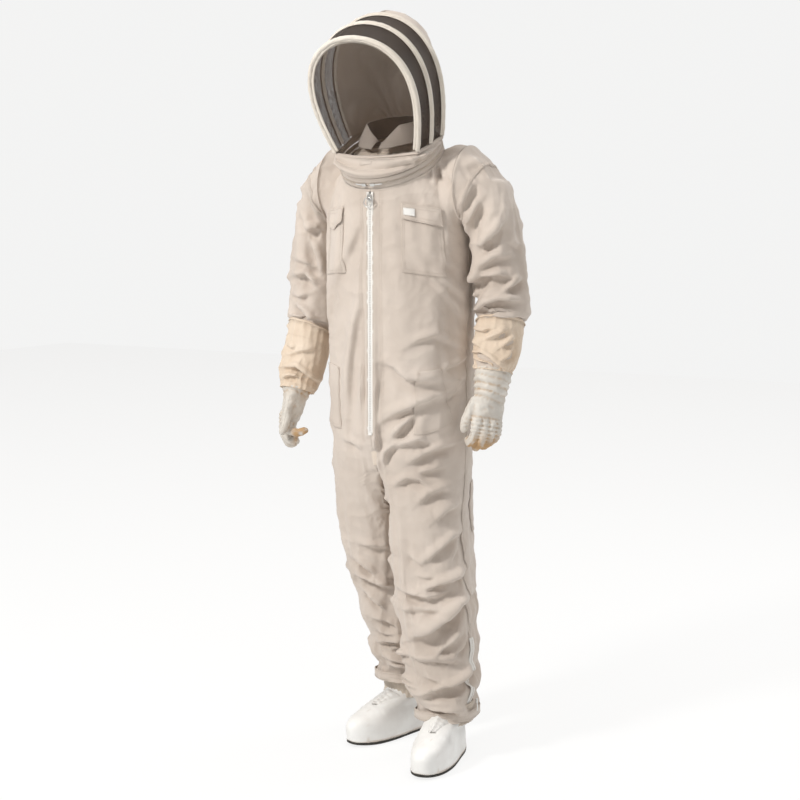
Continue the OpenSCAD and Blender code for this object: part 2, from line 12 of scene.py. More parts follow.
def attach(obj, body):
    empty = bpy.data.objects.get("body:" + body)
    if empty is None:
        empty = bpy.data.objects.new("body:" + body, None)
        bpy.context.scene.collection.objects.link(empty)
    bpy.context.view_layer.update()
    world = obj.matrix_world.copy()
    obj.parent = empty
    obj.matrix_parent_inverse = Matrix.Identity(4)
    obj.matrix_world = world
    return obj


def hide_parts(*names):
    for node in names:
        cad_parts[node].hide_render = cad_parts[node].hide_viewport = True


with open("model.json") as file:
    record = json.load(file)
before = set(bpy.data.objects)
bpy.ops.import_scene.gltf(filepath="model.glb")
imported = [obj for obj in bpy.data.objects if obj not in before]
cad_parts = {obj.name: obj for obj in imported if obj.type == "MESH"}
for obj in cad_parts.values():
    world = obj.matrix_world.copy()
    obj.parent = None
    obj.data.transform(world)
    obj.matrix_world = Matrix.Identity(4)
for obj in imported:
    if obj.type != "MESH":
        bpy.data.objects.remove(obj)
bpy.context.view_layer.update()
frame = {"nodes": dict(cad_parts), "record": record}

JOINTS = {j["name"]: j for j in frame["record"]["behaviour"]["joints"]}
# The suit is drawn about the middle of the shoulders, which lies behind the frame's origin.
SHOULDER_Y = 0.015
BACK = JOINTS["shoulder_left"]["pos_m"][1] - SHOULDER_Y
SHIFT = np.array([0.0, BACK, 0.0])
PI = math.pi
SIDES = {"left": 1, "right": -1}


# ---------------------------------------------------------------- camera, light and floor

CAMERA_PLACE = (2.1, -3.637 + BACK, 1.4)
CAMERA_AIM = (0.0, BACK, 0.895)
LENS = 74.25
FLOOR_HALF = 9
FLOOR_GLOW = 0.83
WORLD_LIGHT = 0.16
BACKDROP = (0.90, 0.90, 0.895, 1)
# Name, place, aim, size, power and colour of each lamp.
LAMPS = (
    ("key", (-1.6, -3.4, 3.4), (0, 0, 1.1), 0.8, 150, (1.0, 0.985, 0.965)),
    ("fill", (3.4, -2.4, 1.5), (0, 0, 0.9), 2.2, 20, (1, 1, 1)),
    ("rim", (1.6, 2.6, 2.8), (0, 0, 1.2), 1.5, 30, (1, 1, 1)),
    ("overhead", (0, 0, 8.0), (0, 0, 0), 14.0, 620, (1, 1, 1)),
)


def aimed(name, data, place, aim):
    """Adds a camera or a lamp that looks from its place to a point."""
    obj = bpy.data.objects.new(name, data)
    bpy.context.collection.objects.link(obj)
    obj.location = place
    obj.rotation_euler = (Vector(aim) - Vector(place)).to_track_quat("-Z", "Y").to_euler()
    return obj


def add_camera():
    data = bpy.data.cameras.new("camera")
    data.sensor_width = 36
    data.lens = LENS
    bpy.context.scene.camera = aimed("camera", data, CAMERA_PLACE, CAMERA_AIM)


def add_lamps():
    for name, place, aim, size, power, colour in LAMPS:
        data = bpy.data.lights.new(name, "AREA")
        data.shape = "DISK"
        data.size = size
        data.energy = power
        data.color = colour
        aimed(name, data, place, aim)


def add_stage():
    h = FLOOR_HALF
    mesh = bpy.data.meshes.new("floor")
    mesh.from_pydata([(-h, -h, 0), (h, -h, 0), (h, h, 0), (-h, h, 0)], [], [(0, 1, 2, 3)])
    floor = bpy.data.objects.new("floor", mesh)
    bpy.context.collection.objects.link(floor)
    mesh.materials.append(floor_paint())


def add_world():
    """Dim light from all round, behind which the camera sees a bright backdrop."""
    world = bpy.data.worlds.new("studio")
    bpy.context.scene.world = world
    bpy.context.scene.view_settings.view_transform = "Standard"
    world.use_nodes = True
    nodes, links = world.node_tree.nodes, world.node_tree.links
    dim, bright = nodes["Background"], nodes.new("ShaderNodeBackground")
    dim.inputs["Color"].default_value = (1.0, 0.985, 0.97, 1)
    dim.inputs["Strength"].default_value = WORLD_LIGHT
    bright.inputs["Color"].default_value = BACKDROP
    pick = nodes.new("ShaderNodeMixShader")
    links.new(nodes.new("ShaderNodeLightPath").outputs["Is Camera Ray"], pick.inputs["Fac"])
    links.new(dim.outputs[0], pick.inputs[1])
    links.new(bright.outputs[0], pick.inputs[2])
    links.new(pick.outputs[0], nodes["World Output"].inputs["Surface"])


# ---------------------------------------------------------------- materials

class Paint:
    """A material's node tree, with short ways to add nodes and to feed their inputs."""

    def __init__(self, name):
        self.material = bpy.data.materials.new(name)
        self.material.use_nodes = True
        self.tree = self.material.node_tree
        self.place = self.add("TexCoord", {}).outputs["Object"]

    def feed(self, node, inputs):
        """Sets each input to a value, or links it to another node's output."""
        for name, value in inputs.items():
            if isinstance(value, bpy.types.NodeSocket):
                self.tree.links.new(value, node.inputs[name])
            else:
                node.inputs[name].default_value = value

    def add(self, kind, inputs, **settings):
        node = self.tree.nodes.new("ShaderNode" + kind)
        for name, value in settings.items():
            setattr(node, name, value)
        self.feed(node, inputs)
        return node

    def weave(self):
        """The cloth's own map, in metres along its threads."""
        return self.add("UVMap", {}, uv_map="cloth").outputs["UV"]

    def blotches(self, scale, detail, low, high):
        """A smooth noise between two colours."""
        texture = self.add("TexNoise", {"Vector": self.place, "Scale": scale, "Detail": detail})
        ramp = self.add("ValToRGB", {"Fac": texture.outputs["Fac"]})
        for stop, place, colour in zip(ramp.color_ramp.elements, (0.36, 0.64), (low, high)):
            stop.position = place
            stop.color = (*colour, 1)
        return ramp.outputs["Color"]

    def bump(self, height, strength, distance, under=None):
        inputs = {"Height": height, "Strength": strength, "Distance": distance}
        if under:
            inputs["Normal"] = under
        return self.add("Bump", inputs).outputs["Normal"]

    def finish(self, inputs):
        self.feed(self.tree.nodes["Principled BSDF"], inputs)
        return self.material


def floor_paint():
    """A pale studio floor. It glows a little, so that it stays pale out to its edge."""
    return Paint("floor").finish({
        "Base Color": (0.13, 0.1295, 0.128, 1), "Roughness": 0.9,
        "Emission Color": (1.0, 0.997, 0.99, 1), "Emission Strength": FLOOR_GLOW,
    })


def cloth(name, low, high, thread=0.0012, crumple=0.25):
    """Twill cotton: a diagonal weave, fine crumples and a slow change of shade from washing."""
    paint = Paint(name)
    twill = paint.add("TexWave", {
        "Vector": paint.weave(), "Scale": 0.32 / thread, "Distortion": 0.6, "Detail": 1.0,
    }, wave_type="BANDS", bands_direction="DIAGONAL")
    shade = paint.add("Mix", {
        "Factor": 0.10, "A": paint.blotches(6.0, 4.0, low, high), "B": twill.outputs["Color"],
    }, data_type="RGBA", blend_type="MULTIPLY")
    wrinkle = paint.add("TexNoise", {"Vector": paint.place, "Scale": 38, "Detail": 5, "Distortion": 0.5})
    fine = paint.bump(twill.outputs["Fac"], 0.35, thread * 0.3)
    return paint.finish({
        "Base Color": shade.outputs["Result"], "Normal": paint.bump(wrinkle.outputs["Fac"], crumple, 0.004, fine),
        "Roughness": 0.88, "Sheen Weight": 0.25, "Sheen Roughness": 0.5, "Specular IOR Level": 0.25,
    })


def netting(name, colour, pitch, cover):
    """Open netting: dark threads in a square grid, with clear holes between them."""
    paint = Paint(name)
    threads = []
    for way in ("X", "Y"):
        wave = paint.add("TexWave", {
            "Vector": paint.weave(), "Scale": 0.314 / pitch, "Distortion": 0.2,
        }, bands_direction=way)
        step = paint.add("Math", {0: wave.outputs["Fac"], 1: 1 - cover}, operation="GREATER_THAN")
        threads.append(step.outputs[0])
    both = paint.add("Math", dict(enumerate(threads)), operation="MAXIMUM")
    return paint.finish({
        "Alpha": both.outputs[0], "Base Color": paint.blotches(9.0, 2.0, colour, [1.5 * c for c in colour]),
        "Roughness": 0.7,
    })


def hide(name, low, high, grain, rough, depth, stain_and_shade_colour):
    """Leather: a pebbled grain and a slow random change of tone. A brown colour follows the piece's own marks: real
    stains and wear, and on the gloves also painted shade in the hollows and creases.
    """
    paint = Paint(name)
    wear_and_shade = paint.add("VertexColor", {}, layer_name="wear_and_shade")
    stain_and_shade = paint.add("Mix", {
        "Factor": wear_and_shade.outputs["Color"], "A": paint.blotches(22.0, 4.0, low, high), "B": (*stain_and_shade_colour, 1),
    }, data_type="RGBA")
    cells = paint.add("TexVoronoi", {"Vector": paint.place, "Scale": 1 / grain})
    soft = paint.add("TexNoise", {"Vector": paint.place, "Scale": 60, "Detail": 4})
    pebbles = paint.bump(cells.outputs["Distance"], 0.35, grain * 0.2)
    return paint.finish({
        "Base Color": stain_and_shade.outputs["Result"], "Normal": paint.bump(soft.outputs["Fac"], 0.4, depth, pebbles),
        "Roughness": rough,
    })


def hard(name, low, high, rough, metallic=0.0, scuff=0.0004):
    """Moulded plastic, plated metal or rubber, scuffed a little."""
    paint = Paint(name)
    scratch = paint.add("TexNoise", {"Vector": paint.place, "Scale": 260, "Detail": 3})
    return paint.finish({
        "Base Color": paint.blotches(90.0, 3.0, low, high), "Normal": paint.bump(scratch.outputs["Fac"], 0.25, scuff),
        "Roughness": rough, "Metallic": metallic,
    })


MATERIALS = {}


def make_materials():
    m = MATERIALS
    m["cotton"] = cloth("cream_twill", (0.572, 0.491, 0.422), (0.645, 0.564, 0.493))
    m["inside"] = cloth("cream_twill_inside", (0.66, 0.55, 0.45), (0.74, 0.64, 0.54))
    m["thread"] = cloth("sewing_thread", (0.46, 0.385, 0.31), (0.54, 0.46, 0.38), 0.0006, 0.05)
    m["elastic"] = cloth("gathered_elastic", (0.62, 0.53, 0.44), (0.70, 0.61, 0.51), crumple=0.5)
    m["canvas"] = cloth("peach_canvas", (0.66, 0.52, 0.385), (0.73, 0.615, 0.495), 0.0016, 0.35)
    m["tape"] = cloth("woven_zip_tape", (0.80, 0.77, 0.72), (0.86, 0.84, 0.80), 0.0009, 0.05)
    m["hoop"] = cloth("hoop_sleeve", (0.68, 0.615, 0.53), (0.76, 0.70, 0.62), 0.0009, 0.4)
    m["label"] = cloth("blank_label", (0.84, 0.82, 0.78), (0.88, 0.86, 0.83), 0.0006, 0.05)
    m["net"] = netting("veil_netting", (0.060, 0.036, 0.021), 0.0016, 0.09)
    m["dense_net"] = netting("side_netting", (0.024, 0.014, 0.008), 0.0016, 0.62)
    m["band"] = cloth("neck_band", (0.55, 0.475, 0.41), (0.62, 0.545, 0.48), 0.0009, 0.05)
    # Near-black cloth: painted shade for the hollow of the neck, seen through the collar's V.
    m["painted_shade_lining"] = cloth("painted_shade_cloth", (0.030, 0.022, 0.016), (0.055, 0.042, 0.032))
    m["goat"] = hide("goatskin", (0.56, 0.52, 0.465), (0.66, 0.62, 0.56), 0.0016, 0.62, 0.0012, (0.42, 0.24, 0.09))
    m["boot"] = hide("white_leather", (0.80, 0.78, 0.75), (0.87, 0.86, 0.83), 0.0022, 0.5, 0.0006, (0.50, 0.40, 0.30))
    m["rubber"] = hard("dark_rubber", (0.018, 0.016, 0.013), (0.045, 0.04, 0.032), 0.75)
    m["acetal"] = hard("white_acetal", (0.80, 0.78, 0.74), (0.88, 0.86, 0.83), 0.35, scuff=0.0001)
    m["cream_acetal"] = hard("cream_acetal", (0.60, 0.52, 0.44), (0.70, 0.62, 0.54), 0.4, scuff=0.0001)
    m["plated"] = hard("plated_metal", (0.62, 0.61, 0.59), (0.78, 0.77, 0.75), 0.28, 0.9, 0.0001)


def refinish(nodes, material):
    """Gives CAD parts that keep their shape a better material."""
    for node in nodes:
        obj = frame["nodes"][node]
        if not obj.data.materials:
            obj.data.materials.append(MATERIALS[material])
        for slot in obj.material_slots:
            slot.material = MATERIALS[material]


# ---------------------------------------------------------------- mesh helpers

def make_object(name, points, faces, smooth=True):
    mesh = bpy.data.meshes.new(name)
    mesh.from_pydata([tuple(p) for p in np.asarray(points, float) + SHIFT], [], faces)
    mesh.update()
    if smooth:
        mesh.polygons.foreach_set("use_smooth", [True] * len(mesh.polygons))
    obj = bpy.data.objects.new(name, mesh)
    bpy.context.collection.objects.link(obj)
    return obj


def grid_faces(rows, cols, loop=False, start=0, back=False):
    faces = []
    for r in range(rows - 1):
        for c in range(cols if loop else cols - 1):
            a = start + r * cols + c
            b = start + r * cols + (c + 1) % cols
            quad = (a, b, b + cols, a + cols)
            faces.append(quad[::-1] if back else quad)
    return faces


def capped_tube(rings, sides, start=0):
    """The faces of a tube that is closed at both ends."""
    faces = grid_faces(rings, sides, loop=True, start=start)
    faces.append(tuple(start + k for k in range(sides))[::-1])
    faces.append(tuple(start + (rings - 1) * sides + k for k in range(sides)))
    return faces


def mix(a, b, t):
    return a + (b - a) * t


def closed(line):
    """A line that ends where it starts."""
    return np.concatenate([line, line[:1]])


def unit(v):
    v = np.asarray(v, float)
    return v / np.maximum(np.linalg.norm(v, axis=-1, keepdims=True), 1e-9)


def along_line(line, count):
    """The same line with count points spaced evenly."""
    line = np.asarray(line, float)
    steps = np.concatenate([[0], np.cumsum(np.linalg.norm(np.diff(line, axis=0), axis=1))])
    where = np.linspace(0, steps[-1], count)
    return np.stack([np.interp(where, steps, line[:, k]) for k in range(3)], axis=1)


def table_at(table, z):
    """A row of the table at height z, between the rows above and below."""
    table = np.asarray(sorted(table), float)
    return [np.interp(z, table[:, 0], table[:, k]) for k in range(1, table.shape[1])]


# ---------------------------------------------------------------- the coverall's cut

SQUARE = 2 / 2.7            # makes the sections of the body a little square
QUARTER = 26                # columns to a quarter of the way round
STEP = 0.010                # height of a row of the grid
CHEST = 0.194               # the plane of each armhole
ARMHOLE_R = 0.100
ARMHOLE_Z = 1.438
ARMPIT_Z = ARMHOLE_Z - ARMHOLE_R
NECKLINE = np.array([0, -0.035, 1.500])
NECK_R = 0.132
NECK_TILT = math.radians(32)
NECK_NORMAL = np.array([0, -math.sin(NECK_TILT), math.cos(NECK_TILT)])
CROTCH_Z = 0.722
NECK_SHARE = 0.7

# Height, half width, front, back and the side seam's place, from the crotch to the armpits.
TORSO = [
    (CROTCH_Z, 0.190, -0.124, 0.130, 0.004),
    (0.823, 0.191, -0.148, 0.141, 0.012),
    (0.900, 0.190, -0.148, 0.143, SHOULDER_Y),
    (0.990, 0.189, -0.148, 0.137, SHOULDER_Y),
    (1.090, 0.188, -0.148, 0.131, SHOULDER_Y),
    (1.200, 0.191, -0.148, 0.133, SHOULDER_Y),
    (ARMPIT_Z, CHEST, -0.148, 0.138, SHOULDER_Y),
]
# Height, middle x and y, outer and inner half widths and half depth of each leg, from the hem up.
LEGS = {"left": [
    (0.100, 0.162, -0.038, 0.068, 0.070, 0.080),
    (0.140, 0.160, -0.037, 0.078, 0.082, 0.092),
    (0.200, 0.152, -0.035, 0.086, 0.088, 0.100),
    (0.300, 0.138, -0.031, 0.096, 0.091, 0.107),
    (0.400, 0.124, -0.025, 0.104, 0.094, 0.112),
    (0.500, 0.109, -0.017, 0.098, 0.093, 0.116),
    (0.600, 0.097, -0.008, 0.090, 0.091, 0.120),
    (0.690, 0.044, 0.002, 0.146, 0.041, 0.126),
    (CROTCH_Z, 0.0, 0.004, 0.190, 0.0, 0.1275),
], "right": [
    (0.148, 0.0265, 0.0863, 0.0725, 0.0745, 0.0868),
    (0.200, 0.030, 0.082, 0.076, 0.078, 0.092),
    (0.300, 0.040, 0.070, 0.082, 0.082, 0.098),
    (0.400, 0.059, 0.052, 0.094, 0.083, 0.106),
    (0.500, 0.076, 0.034, 0.096, 0.082, 0.112),
    (0.600, 0.086, 0.016, 0.098, 0.083, 0.116),
    (0.690, 0.044, 0.008, 0.146, 0.041, 0.124),
    (CROTCH_Z, 0.0, 0.004, 0.190, 0.0, 0.1275),
]}


def leg_middle(side, z):
    x, y = table_at(LEGS[side], z)[:2]
    return np.array([SIDES[side] * x, y, 0])


def bend(v):
    return np.sign(v) * np.abs(v) ** SQUARE


def quarter_arc(middle, reach_x, reach_y, z):
    """A quarter of a section, from the point at reach_y to the point at reach_x."""
    a = np.linspace(0, PI / 2, 60)
    arc = np.stack([
        middle[0] + reach_x * bend(np.sin(a)),
        middle[1] + reach_y * bend(np.cos(a)),
        np.full(60, z),
    ], axis=1)
    return along_line(arc, QUARTER + 1)


def torso_row(z, front):
    half, front_y, back_y, side_y = table_at(TORSO, z)
    return quarter_arc((0, side_y), half, (front_y if front else back_y) - side_y, z)


def neck_point(a, centre=NECKLINE):
    """A point on the neckline, or on the same circle about another centre."""
    return centre + NECK_R * np.array([
        math.sin(a), -math.cos(a) * math.cos(NECK_TILT), -math.cos(a) * math.sin(NECK_TILT)
    ])


def top_edge(front):
    """Along the neckline from the middle, then along the shoulder seam to the armhole."""
    tip = np.array([CHEST, SHOULDER_Y, ARMHOLE_Z + ARMHOLE_R])
    first = 0 if front else PI
    turn = math.radians(112)
    row = []
    for c in range(QUARTER + 1):
        t = c / QUARTER
        if t <= NECK_SHARE:
            row.append(neck_point(mix(first, turn, t / NECK_SHARE)))
        else:
            along = (t - NECK_SHARE) / (1 - NECK_SHARE)
            row.append(mix(neck_point(turn), tip, along) + [0, 0, 0.010 * math.sin(PI * along)])
    return np.array(row)


def upper_row(t, front):
    low, high = torso_row(ARMPIT_Z, front), top_edge(front)
    turn = PI * t
    rim = np.array([
        CHEST,
        SHOULDER_Y + (-1 if front else 1) * ARMHOLE_R * math.sin(turn),
        ARMHOLE_Z - ARMHOLE_R * math.cos(turn),
    ])
    row = mix(low, high, t)
    pull = rim - row[-1]
    share = (np.arange(QUARTER + 1) / QUARTER) ** 2.5
    return row + pull * share[:, None]


def body_quarter(front):
    """Grid of points of one quarter of the torso, from the crotch's height to the neck and shoulder."""
    low = int(round((ARMPIT_Z - CROTCH_Z) / STEP))
    rows = [torso_row(mix(CROTCH_Z, ARMPIT_Z, r / low), front) for r in range(low)]
    upper = 18
    rows += [upper_row(r / upper, front) for r in range(upper + 1)]
    return np.array(rows)


def leg_quarter(table, front, outer):
    """Grid of one quarter of a leg from the hem up, from the front or back middle line to a side seam."""
    low = table[0][0]
    count = int(round((CROTCH_Z - low) / STEP))
    rows = []
    for r in range(count + 1):
        z = mix(low, CROTCH_Z, r / count)
        x, y, out, inner, deep = table_at(table, z)
        row = quarter_arc((x, y), out if outer else -inner, -deep if front else deep, z)
        if not outer:
            # The crotch seam dips between the legs.
            dip = 0.035 * np.sin(np.linspace(0, PI / 2, QUARTER + 1)) * max(0, 1 - (CROTCH_Z - z) / 0.16)
            row[:, 2] -= dip
        rows.append(row)
    return np.array(rows)


def flip(grid):
    return grid * [-1, 1, 1]


class Cut:
    """The coverall's body and legs as one sheet of welded grids, so that it can be draped in one go."""

    def __init__(self):
        self.grids = {}
        for front, name in ((True, "front"), (False, "back")):
            quarter = body_quarter(front)
            self.grids[name + "_left"] = quarter
            self.grids[name + "_right"] = flip(quarter)
            for outer, side in ((True, "outer"), (False, "inner")):
                self.grids[f"leg_{name}_{side}_left"] = leg_quarter(LEGS["left"], front, outer)
                self.grids[f"leg_{name}_{side}_right"] = flip(leg_quarter(LEGS["right"], front, outer))
        self.weld()

    def weld(self):
        self.points, self.index, seen = [], {}, {}
        for name, grid in self.grids.items():
            ids = np.zeros(grid.shape[:2], int)
            for r in range(grid.shape[0]):
                for c in range(grid.shape[1]):
                    p = grid[r, c]
                    key = tuple(np.round(p / 0.0005).astype(int))
                    found = next((seen[k] for k in neighbours(key) if k in seen), None)
                    if found is None:
                        found = len(self.points)
                        seen[key] = found
                        self.points.append(p)
                    ids[r, c] = found
            self.index[name] = ids
        self.points = np.array(self.points)
        self.faces = []
        for name, ids in self.index.items():
            turned = ("front" in name) == ("left" in name)
            if "inner" in name:
                turned = not turned
            for r in range(ids.shape[0] - 1):
                for c in range(ids.shape[1] - 1):
                    quad = [ids[r, c], ids[r, c + 1], ids[r + 1, c + 1], ids[r + 1, c]]
                    quad = [q for i, q in enumerate(quad) if q != quad[i - 1]]
                    if len(quad) > 2:
                        self.faces.append(tuple(quad if turned else quad[::-1]))

    def update(self, points):
        self.points = points
        self.grids = {name: points[ids] for name, ids in self.index.items()}


def neighbours(key):
    return [(key[0] + a, key[1] + b, key[2] + c) for a in (0, -1, 1) for b in (0, -1, 1) for c in (0, -1, 1)]


# ---------------------------------------------------------------- draping

def body_form(name, rings):
    """A closed form inside the cloth: each ring is a middle, a half width and a half depth."""
    sides = 28
    points = []
    for middle, wide, deep in rings:
        for k in range(sides):
            a = 2 * PI * k / sides
            points.append(np.array(middle) + [wide * math.cos(a), deep * math.sin(a), 0])
    form = make_object(name, points, capped_tube(len(rings), sides))
    form.modifiers.new("hit", "COLLISION")
    form.collision.thickness_outer = 0.004
    form.collision.cloth_friction = 12
    return form


def drape(name, points, faces, rest, pin, forms, frames):
    """Lets a sheet settle over the forms, and gives its points back. The forms are removed."""
    sheet = make_object(name, points, faces)
    sheet.shape_key_add(name="Basis")
    key = sheet.shape_key_add(name="rest")
    key.data.foreach_set("co", (rest + SHIFT).astype(np.float32).ravel())
    key.value = 0
    group = sheet.vertex_groups.new(name="pin")
    for i, w in enumerate(pin):
        if w > 0:
            group.add([i], float(w), "REPLACE")
    cloth_modifier = sheet.modifiers.new("cloth", "CLOTH")
    s = cloth_modifier.settings
    s.quality = 6
    s.mass = 0.2
    s.air_damping = 2.0
    s.tension_stiffness = s.compression_stiffness = 25
    s.shear_stiffness = 8
    s.bending_stiffness = 1.2
    s.tension_damping = s.compression_damping = s.shear_damping = 8
    s.bending_damping = 0.8
    s.rest_shape_key = key
    s.vertex_group_mass = "pin"
    s.pin_stiffness = 1.0
    c = cloth_modifier.collision_settings
    c.use_collision = bool(forms)
    c.distance_min = 0.004
    c.collision_quality = 2
    cloth_modifier.point_cache.frame_start = 1
    cloth_modifier.point_cache.frame_end = frames
    scene = bpy.context.scene
    for f in range(1, frames + 1):
        scene.frame_set(f)
    shaped = sheet.evaluated_get(bpy.context.evaluated_depsgraph_get())
    settled = np.zeros(len(points) * 3, np.float32)
    shaped.data.vertices.foreach_get("co", settled)
    settled = settled.reshape(-1, 3).astype(float) - SHIFT
    scene.frame_set(1)
    for obj in [sheet, *forms]:
        bpy.data.objects.remove(obj)
    return settled


# ---------------------------------------------------------------- folds

ACROSS = np.array([math.cos(PI / 6), math.sin(PI / 6), 0])     # to the right, seen from the front left
TOWARDS = np.array([math.sin(PI / 6), -math.cos(PI / 6), 0])


def ridges(p, direction, pitch):
    return np.sin(2 * PI * (p @ np.asarray(direction, float)) / pitch)


def noise_at(points, size, seed):
    offset = Vector((seed * 7.3, seed * 3.1, seed * 5.7))
    return np.array([noise.noise(Vector(p) / size + offset) for p in points])


def outward(points, faces):
    """The normal at each point of a sheet."""
    total = np.zeros_like(points)
    for f in faces:
        n = np.cross(points[f[1]] - points[f[0]], points[f[2]] - points[f[0]])
        for i in f:
            total[i] += n
    return unit(total)


def crease(q, line, deep, wide):
    """How far one crease moves each point. The cloth bulges above the line and is hollow below it."""
    line = np.asarray(line, float) / 1000
    best = np.full(len(q), 1e9)
    side = np.zeros(len(q))
    along = np.zeros(len(q))
    start = 0.0
    for a, b in zip(line[:-1], line[1:]):
        e = b - a
        reach = math.hypot(*e)
        t = np.clip((q - a) @ e / reach ** 2, 0, 1)
        gap = q - a - t[:, None] * e
        d = np.hypot(gap[:, 0], gap[:, 1])
        near = d < best
        best = np.where(near, d, best)
        side = np.where(near, np.sign(e[0] * gap[:, 1] - e[1] * gap[:, 0]), side)
        along = np.where(near, start + t * reach, along)
        start += reach
    taper = np.clip(np.minimum(along, start - along) / (0.33 * start) + 0.12, 0, 1)
    d = best * side / (wide / 1000)
    return deep / 1000 * taper * (np.exp(-((d - 0.55) / 0.6) ** 2) - np.exp(-((d + 0.5) / 0.75) ** 2))


def folds(points, normals, guides, face=1):
    """The sum of the creases on the side that faces the front left, or on the other side if face is -1."""
    q = np.stack([face * (points @ ACROSS), points[:, 2]], axis=1)
    shown = np.clip((face * (normals @ TOWARDS) + 0.25) / 0.4, 0, 1)
    total = np.zeros(len(points))
    for line, deep, wide in guides:
        total += crease(q, line, deep, wide)
    return total * shown


def scattered(seed, count, across, heights, slope, deep, wide, reach=(50, 120)):
    """Guides for creases on a side that is seldom looked at: a seeded scatter of short curved lines."""
    rng = np.random.default_rng(seed)
    guides = []
    for k in range(count):
        u, z = rng.uniform(*across), mix(heights[0], heights[1], (k + rng.uniform(0.2, 0.8)) / count)
        half, lean = rng.uniform(*reach) / 2, rng.uniform(-slope, slope)
        bow = rng.uniform(-8, 10)
        guides.append((
            [(u - half, z - lean * half), (u, z + bow), (u + half, z + lean * half)],
            rng.uniform(0.6, 1.2) * deep, rng.uniform(0.8, 1.3) * wide,
        ))
    return guides


def finer(grid, times, loop=False):
    """The grid with more rows and columns, on smooth curves through the old points."""
    def along_first(g, wrap):
        n = len(g)
        count = n * times if wrap else (n - 1) * times + 1
        where = np.arange(count) / times
        i = np.floor(where).astype(int)
        t = (where - i).reshape(-1, *([1] * (g.ndim - 1)))
        pick = (lambda k: g[k % n]) if wrap else (lambda k: g[np.clip(k, 0, n - 1)])
        a, b, c, d = pick(i - 1), pick(i), pick(i + 1), pick(i + 2)
        if not wrap:
            a = np.where((i == 0).reshape(t.shape), 2 * b - c, a)
            d = np.where((i >= n - 2).reshape(t.shape), 2 * c - b, d)
        return b + 0.5 * t * (c - a + t * (2 * a - 5 * b + 4 * c - d + t * (3 * (b - c) + d - a)))
    tall = along_first(grid, False)
    return np.swapaxes(along_first(np.swapaxes(tall, 0, 1), loop), 0, 1)


def grid_normals(grid, loop=False):
    """Normals of a grid, on the side that its columns and rows turn round."""
    if loop:
        across = np.roll(grid, -1, axis=1) - np.roll(grid, 1, axis=1)
    else:
        across = np.gradient(grid, axis=1)
    return unit(np.cross(across, np.gradient(grid, axis=0)))


def turned_away(normals, grid, middle):
    """The normals, turned to point away from a middle."""
    return -normals if np.sum(normals * (grid - middle)) < 0 else normals


def even_rows(key, count, fine, loop=False):
    """Rows set at even distances on smooth curves through the given rows."""
    dense = finer(np.asarray(key, float), fine, loop=loop)[:, ::fine]
    steps = np.concatenate([[0], np.cumsum(np.linalg.norm(np.diff(dense, axis=0), axis=2).mean(axis=1))])
    where = np.linspace(0, steps[-1], count)
    flat = dense.reshape(len(dense), -1)
    out = np.stack([np.interp(where, steps, flat[:, k]) for k in range(flat.shape[1])], axis=1)
    return out.reshape(count, *dense.shape[1:])


def add_wear_and_shade(obj, wear_and_shade):
    """Marks each point's wear and stain, and on the gloves its painted shade, for the leather's brown colour."""
    colour = obj.data.color_attributes.new("wear_and_shade", "FLOAT_COLOR", "POINT")
    colour.data.foreach_set("color", np.repeat(wear_and_shade, 4).astype(np.float32))


# ---------------------------------------------------------------- the coverall, draped

# Each crease is a line of points across and up, its depth and its width, all in millimetres.

LEG_CREASES = [
    ([(60, 435), (100, 452), (150, 462), (182, 484)], 13, 20),
    ([(-20, 432), (30, 421), (70, 417), (110, 427), (142, 437)], 9, 16),
    ([(28, 306), (70, 330), (110, 355), (150, 393), (204, 413)], 16, 24),
    ([(22, 261), (80, 263), (122, 261), (152, 250)], 9, 16),
    ([(88, 188), (130, 197), (170, 210), (206, 238)], 13, 20), ([(42, 166), (80, 182), (112, 192)], 8, 13),
    ([(58, 503), (100, 535), (130, 560), (164, 572)], 8, 18), ([(-18, 688), (18, 712), (46, 710), (72, 690)], 7, 16),
    ([(44, 648), (75, 675), (110, 686), (134, 681)], 7, 18), ([(18, 748), (60, 775), (100, 790), (144, 799)], 7, 16),
    ([(44, 727), (80, 735), (114, 743)], 5, 13), ([(-22, 785), (10, 800), (50, 813), (84, 800)], 6, 16),
    ([(90, 608), (122, 630), (154, 641)], 7, 22), ([(144, 272), (165, 295), (176, 328)], 6, 12),
    ([(60, 130), (100, 134), (152, 128)], 6, 9), ([(56, 111), (90, 113), (116, 107)], 5, 8),
    ([(88, 273), (122, 298), (162, 326)], 6, 14), ([(58, 216), (80, 212), (104, 204)], 5, 12),
    ([(20, 520), (40, 505), (58, 492)], 5, 14), ([(0, 380), (50, 386), (104, 384)], 6, 16),
    ([(40, 470), (64, 466), (90, 470)], 4, 12), ([(128, 500), (150, 540), (158, 580)], 4, 14),
    ([(-128, 482), (-106, 474), (-84, 456), (-68, 438)], 9, 14),
    ([(-122, 435), (-92, 428), (-50, 414), (-16, 408)], 12, 18),
    ([(-96, 392), (-72, 374), (-48, 352)], 8, 12), ([(-76, 320), (-40, 314), (-8, 300)], 7, 14),
    ([(-62, 248), (-30, 258), (22, 266)], 12, 13), ([(-46, 232), (-10, 240), (14, 240)], 6, 9),
    ([(-42, 210), (0, 205), (32, 196)], 7, 9), ([(-34, 188), (0, 190), (32, 184)], 6, 8),
    ([(-116, 524), (-64, 518), (-20, 514)], 5, 16), ([(-66, 286), (-40, 276), (-10, 280)], 5, 12),
]
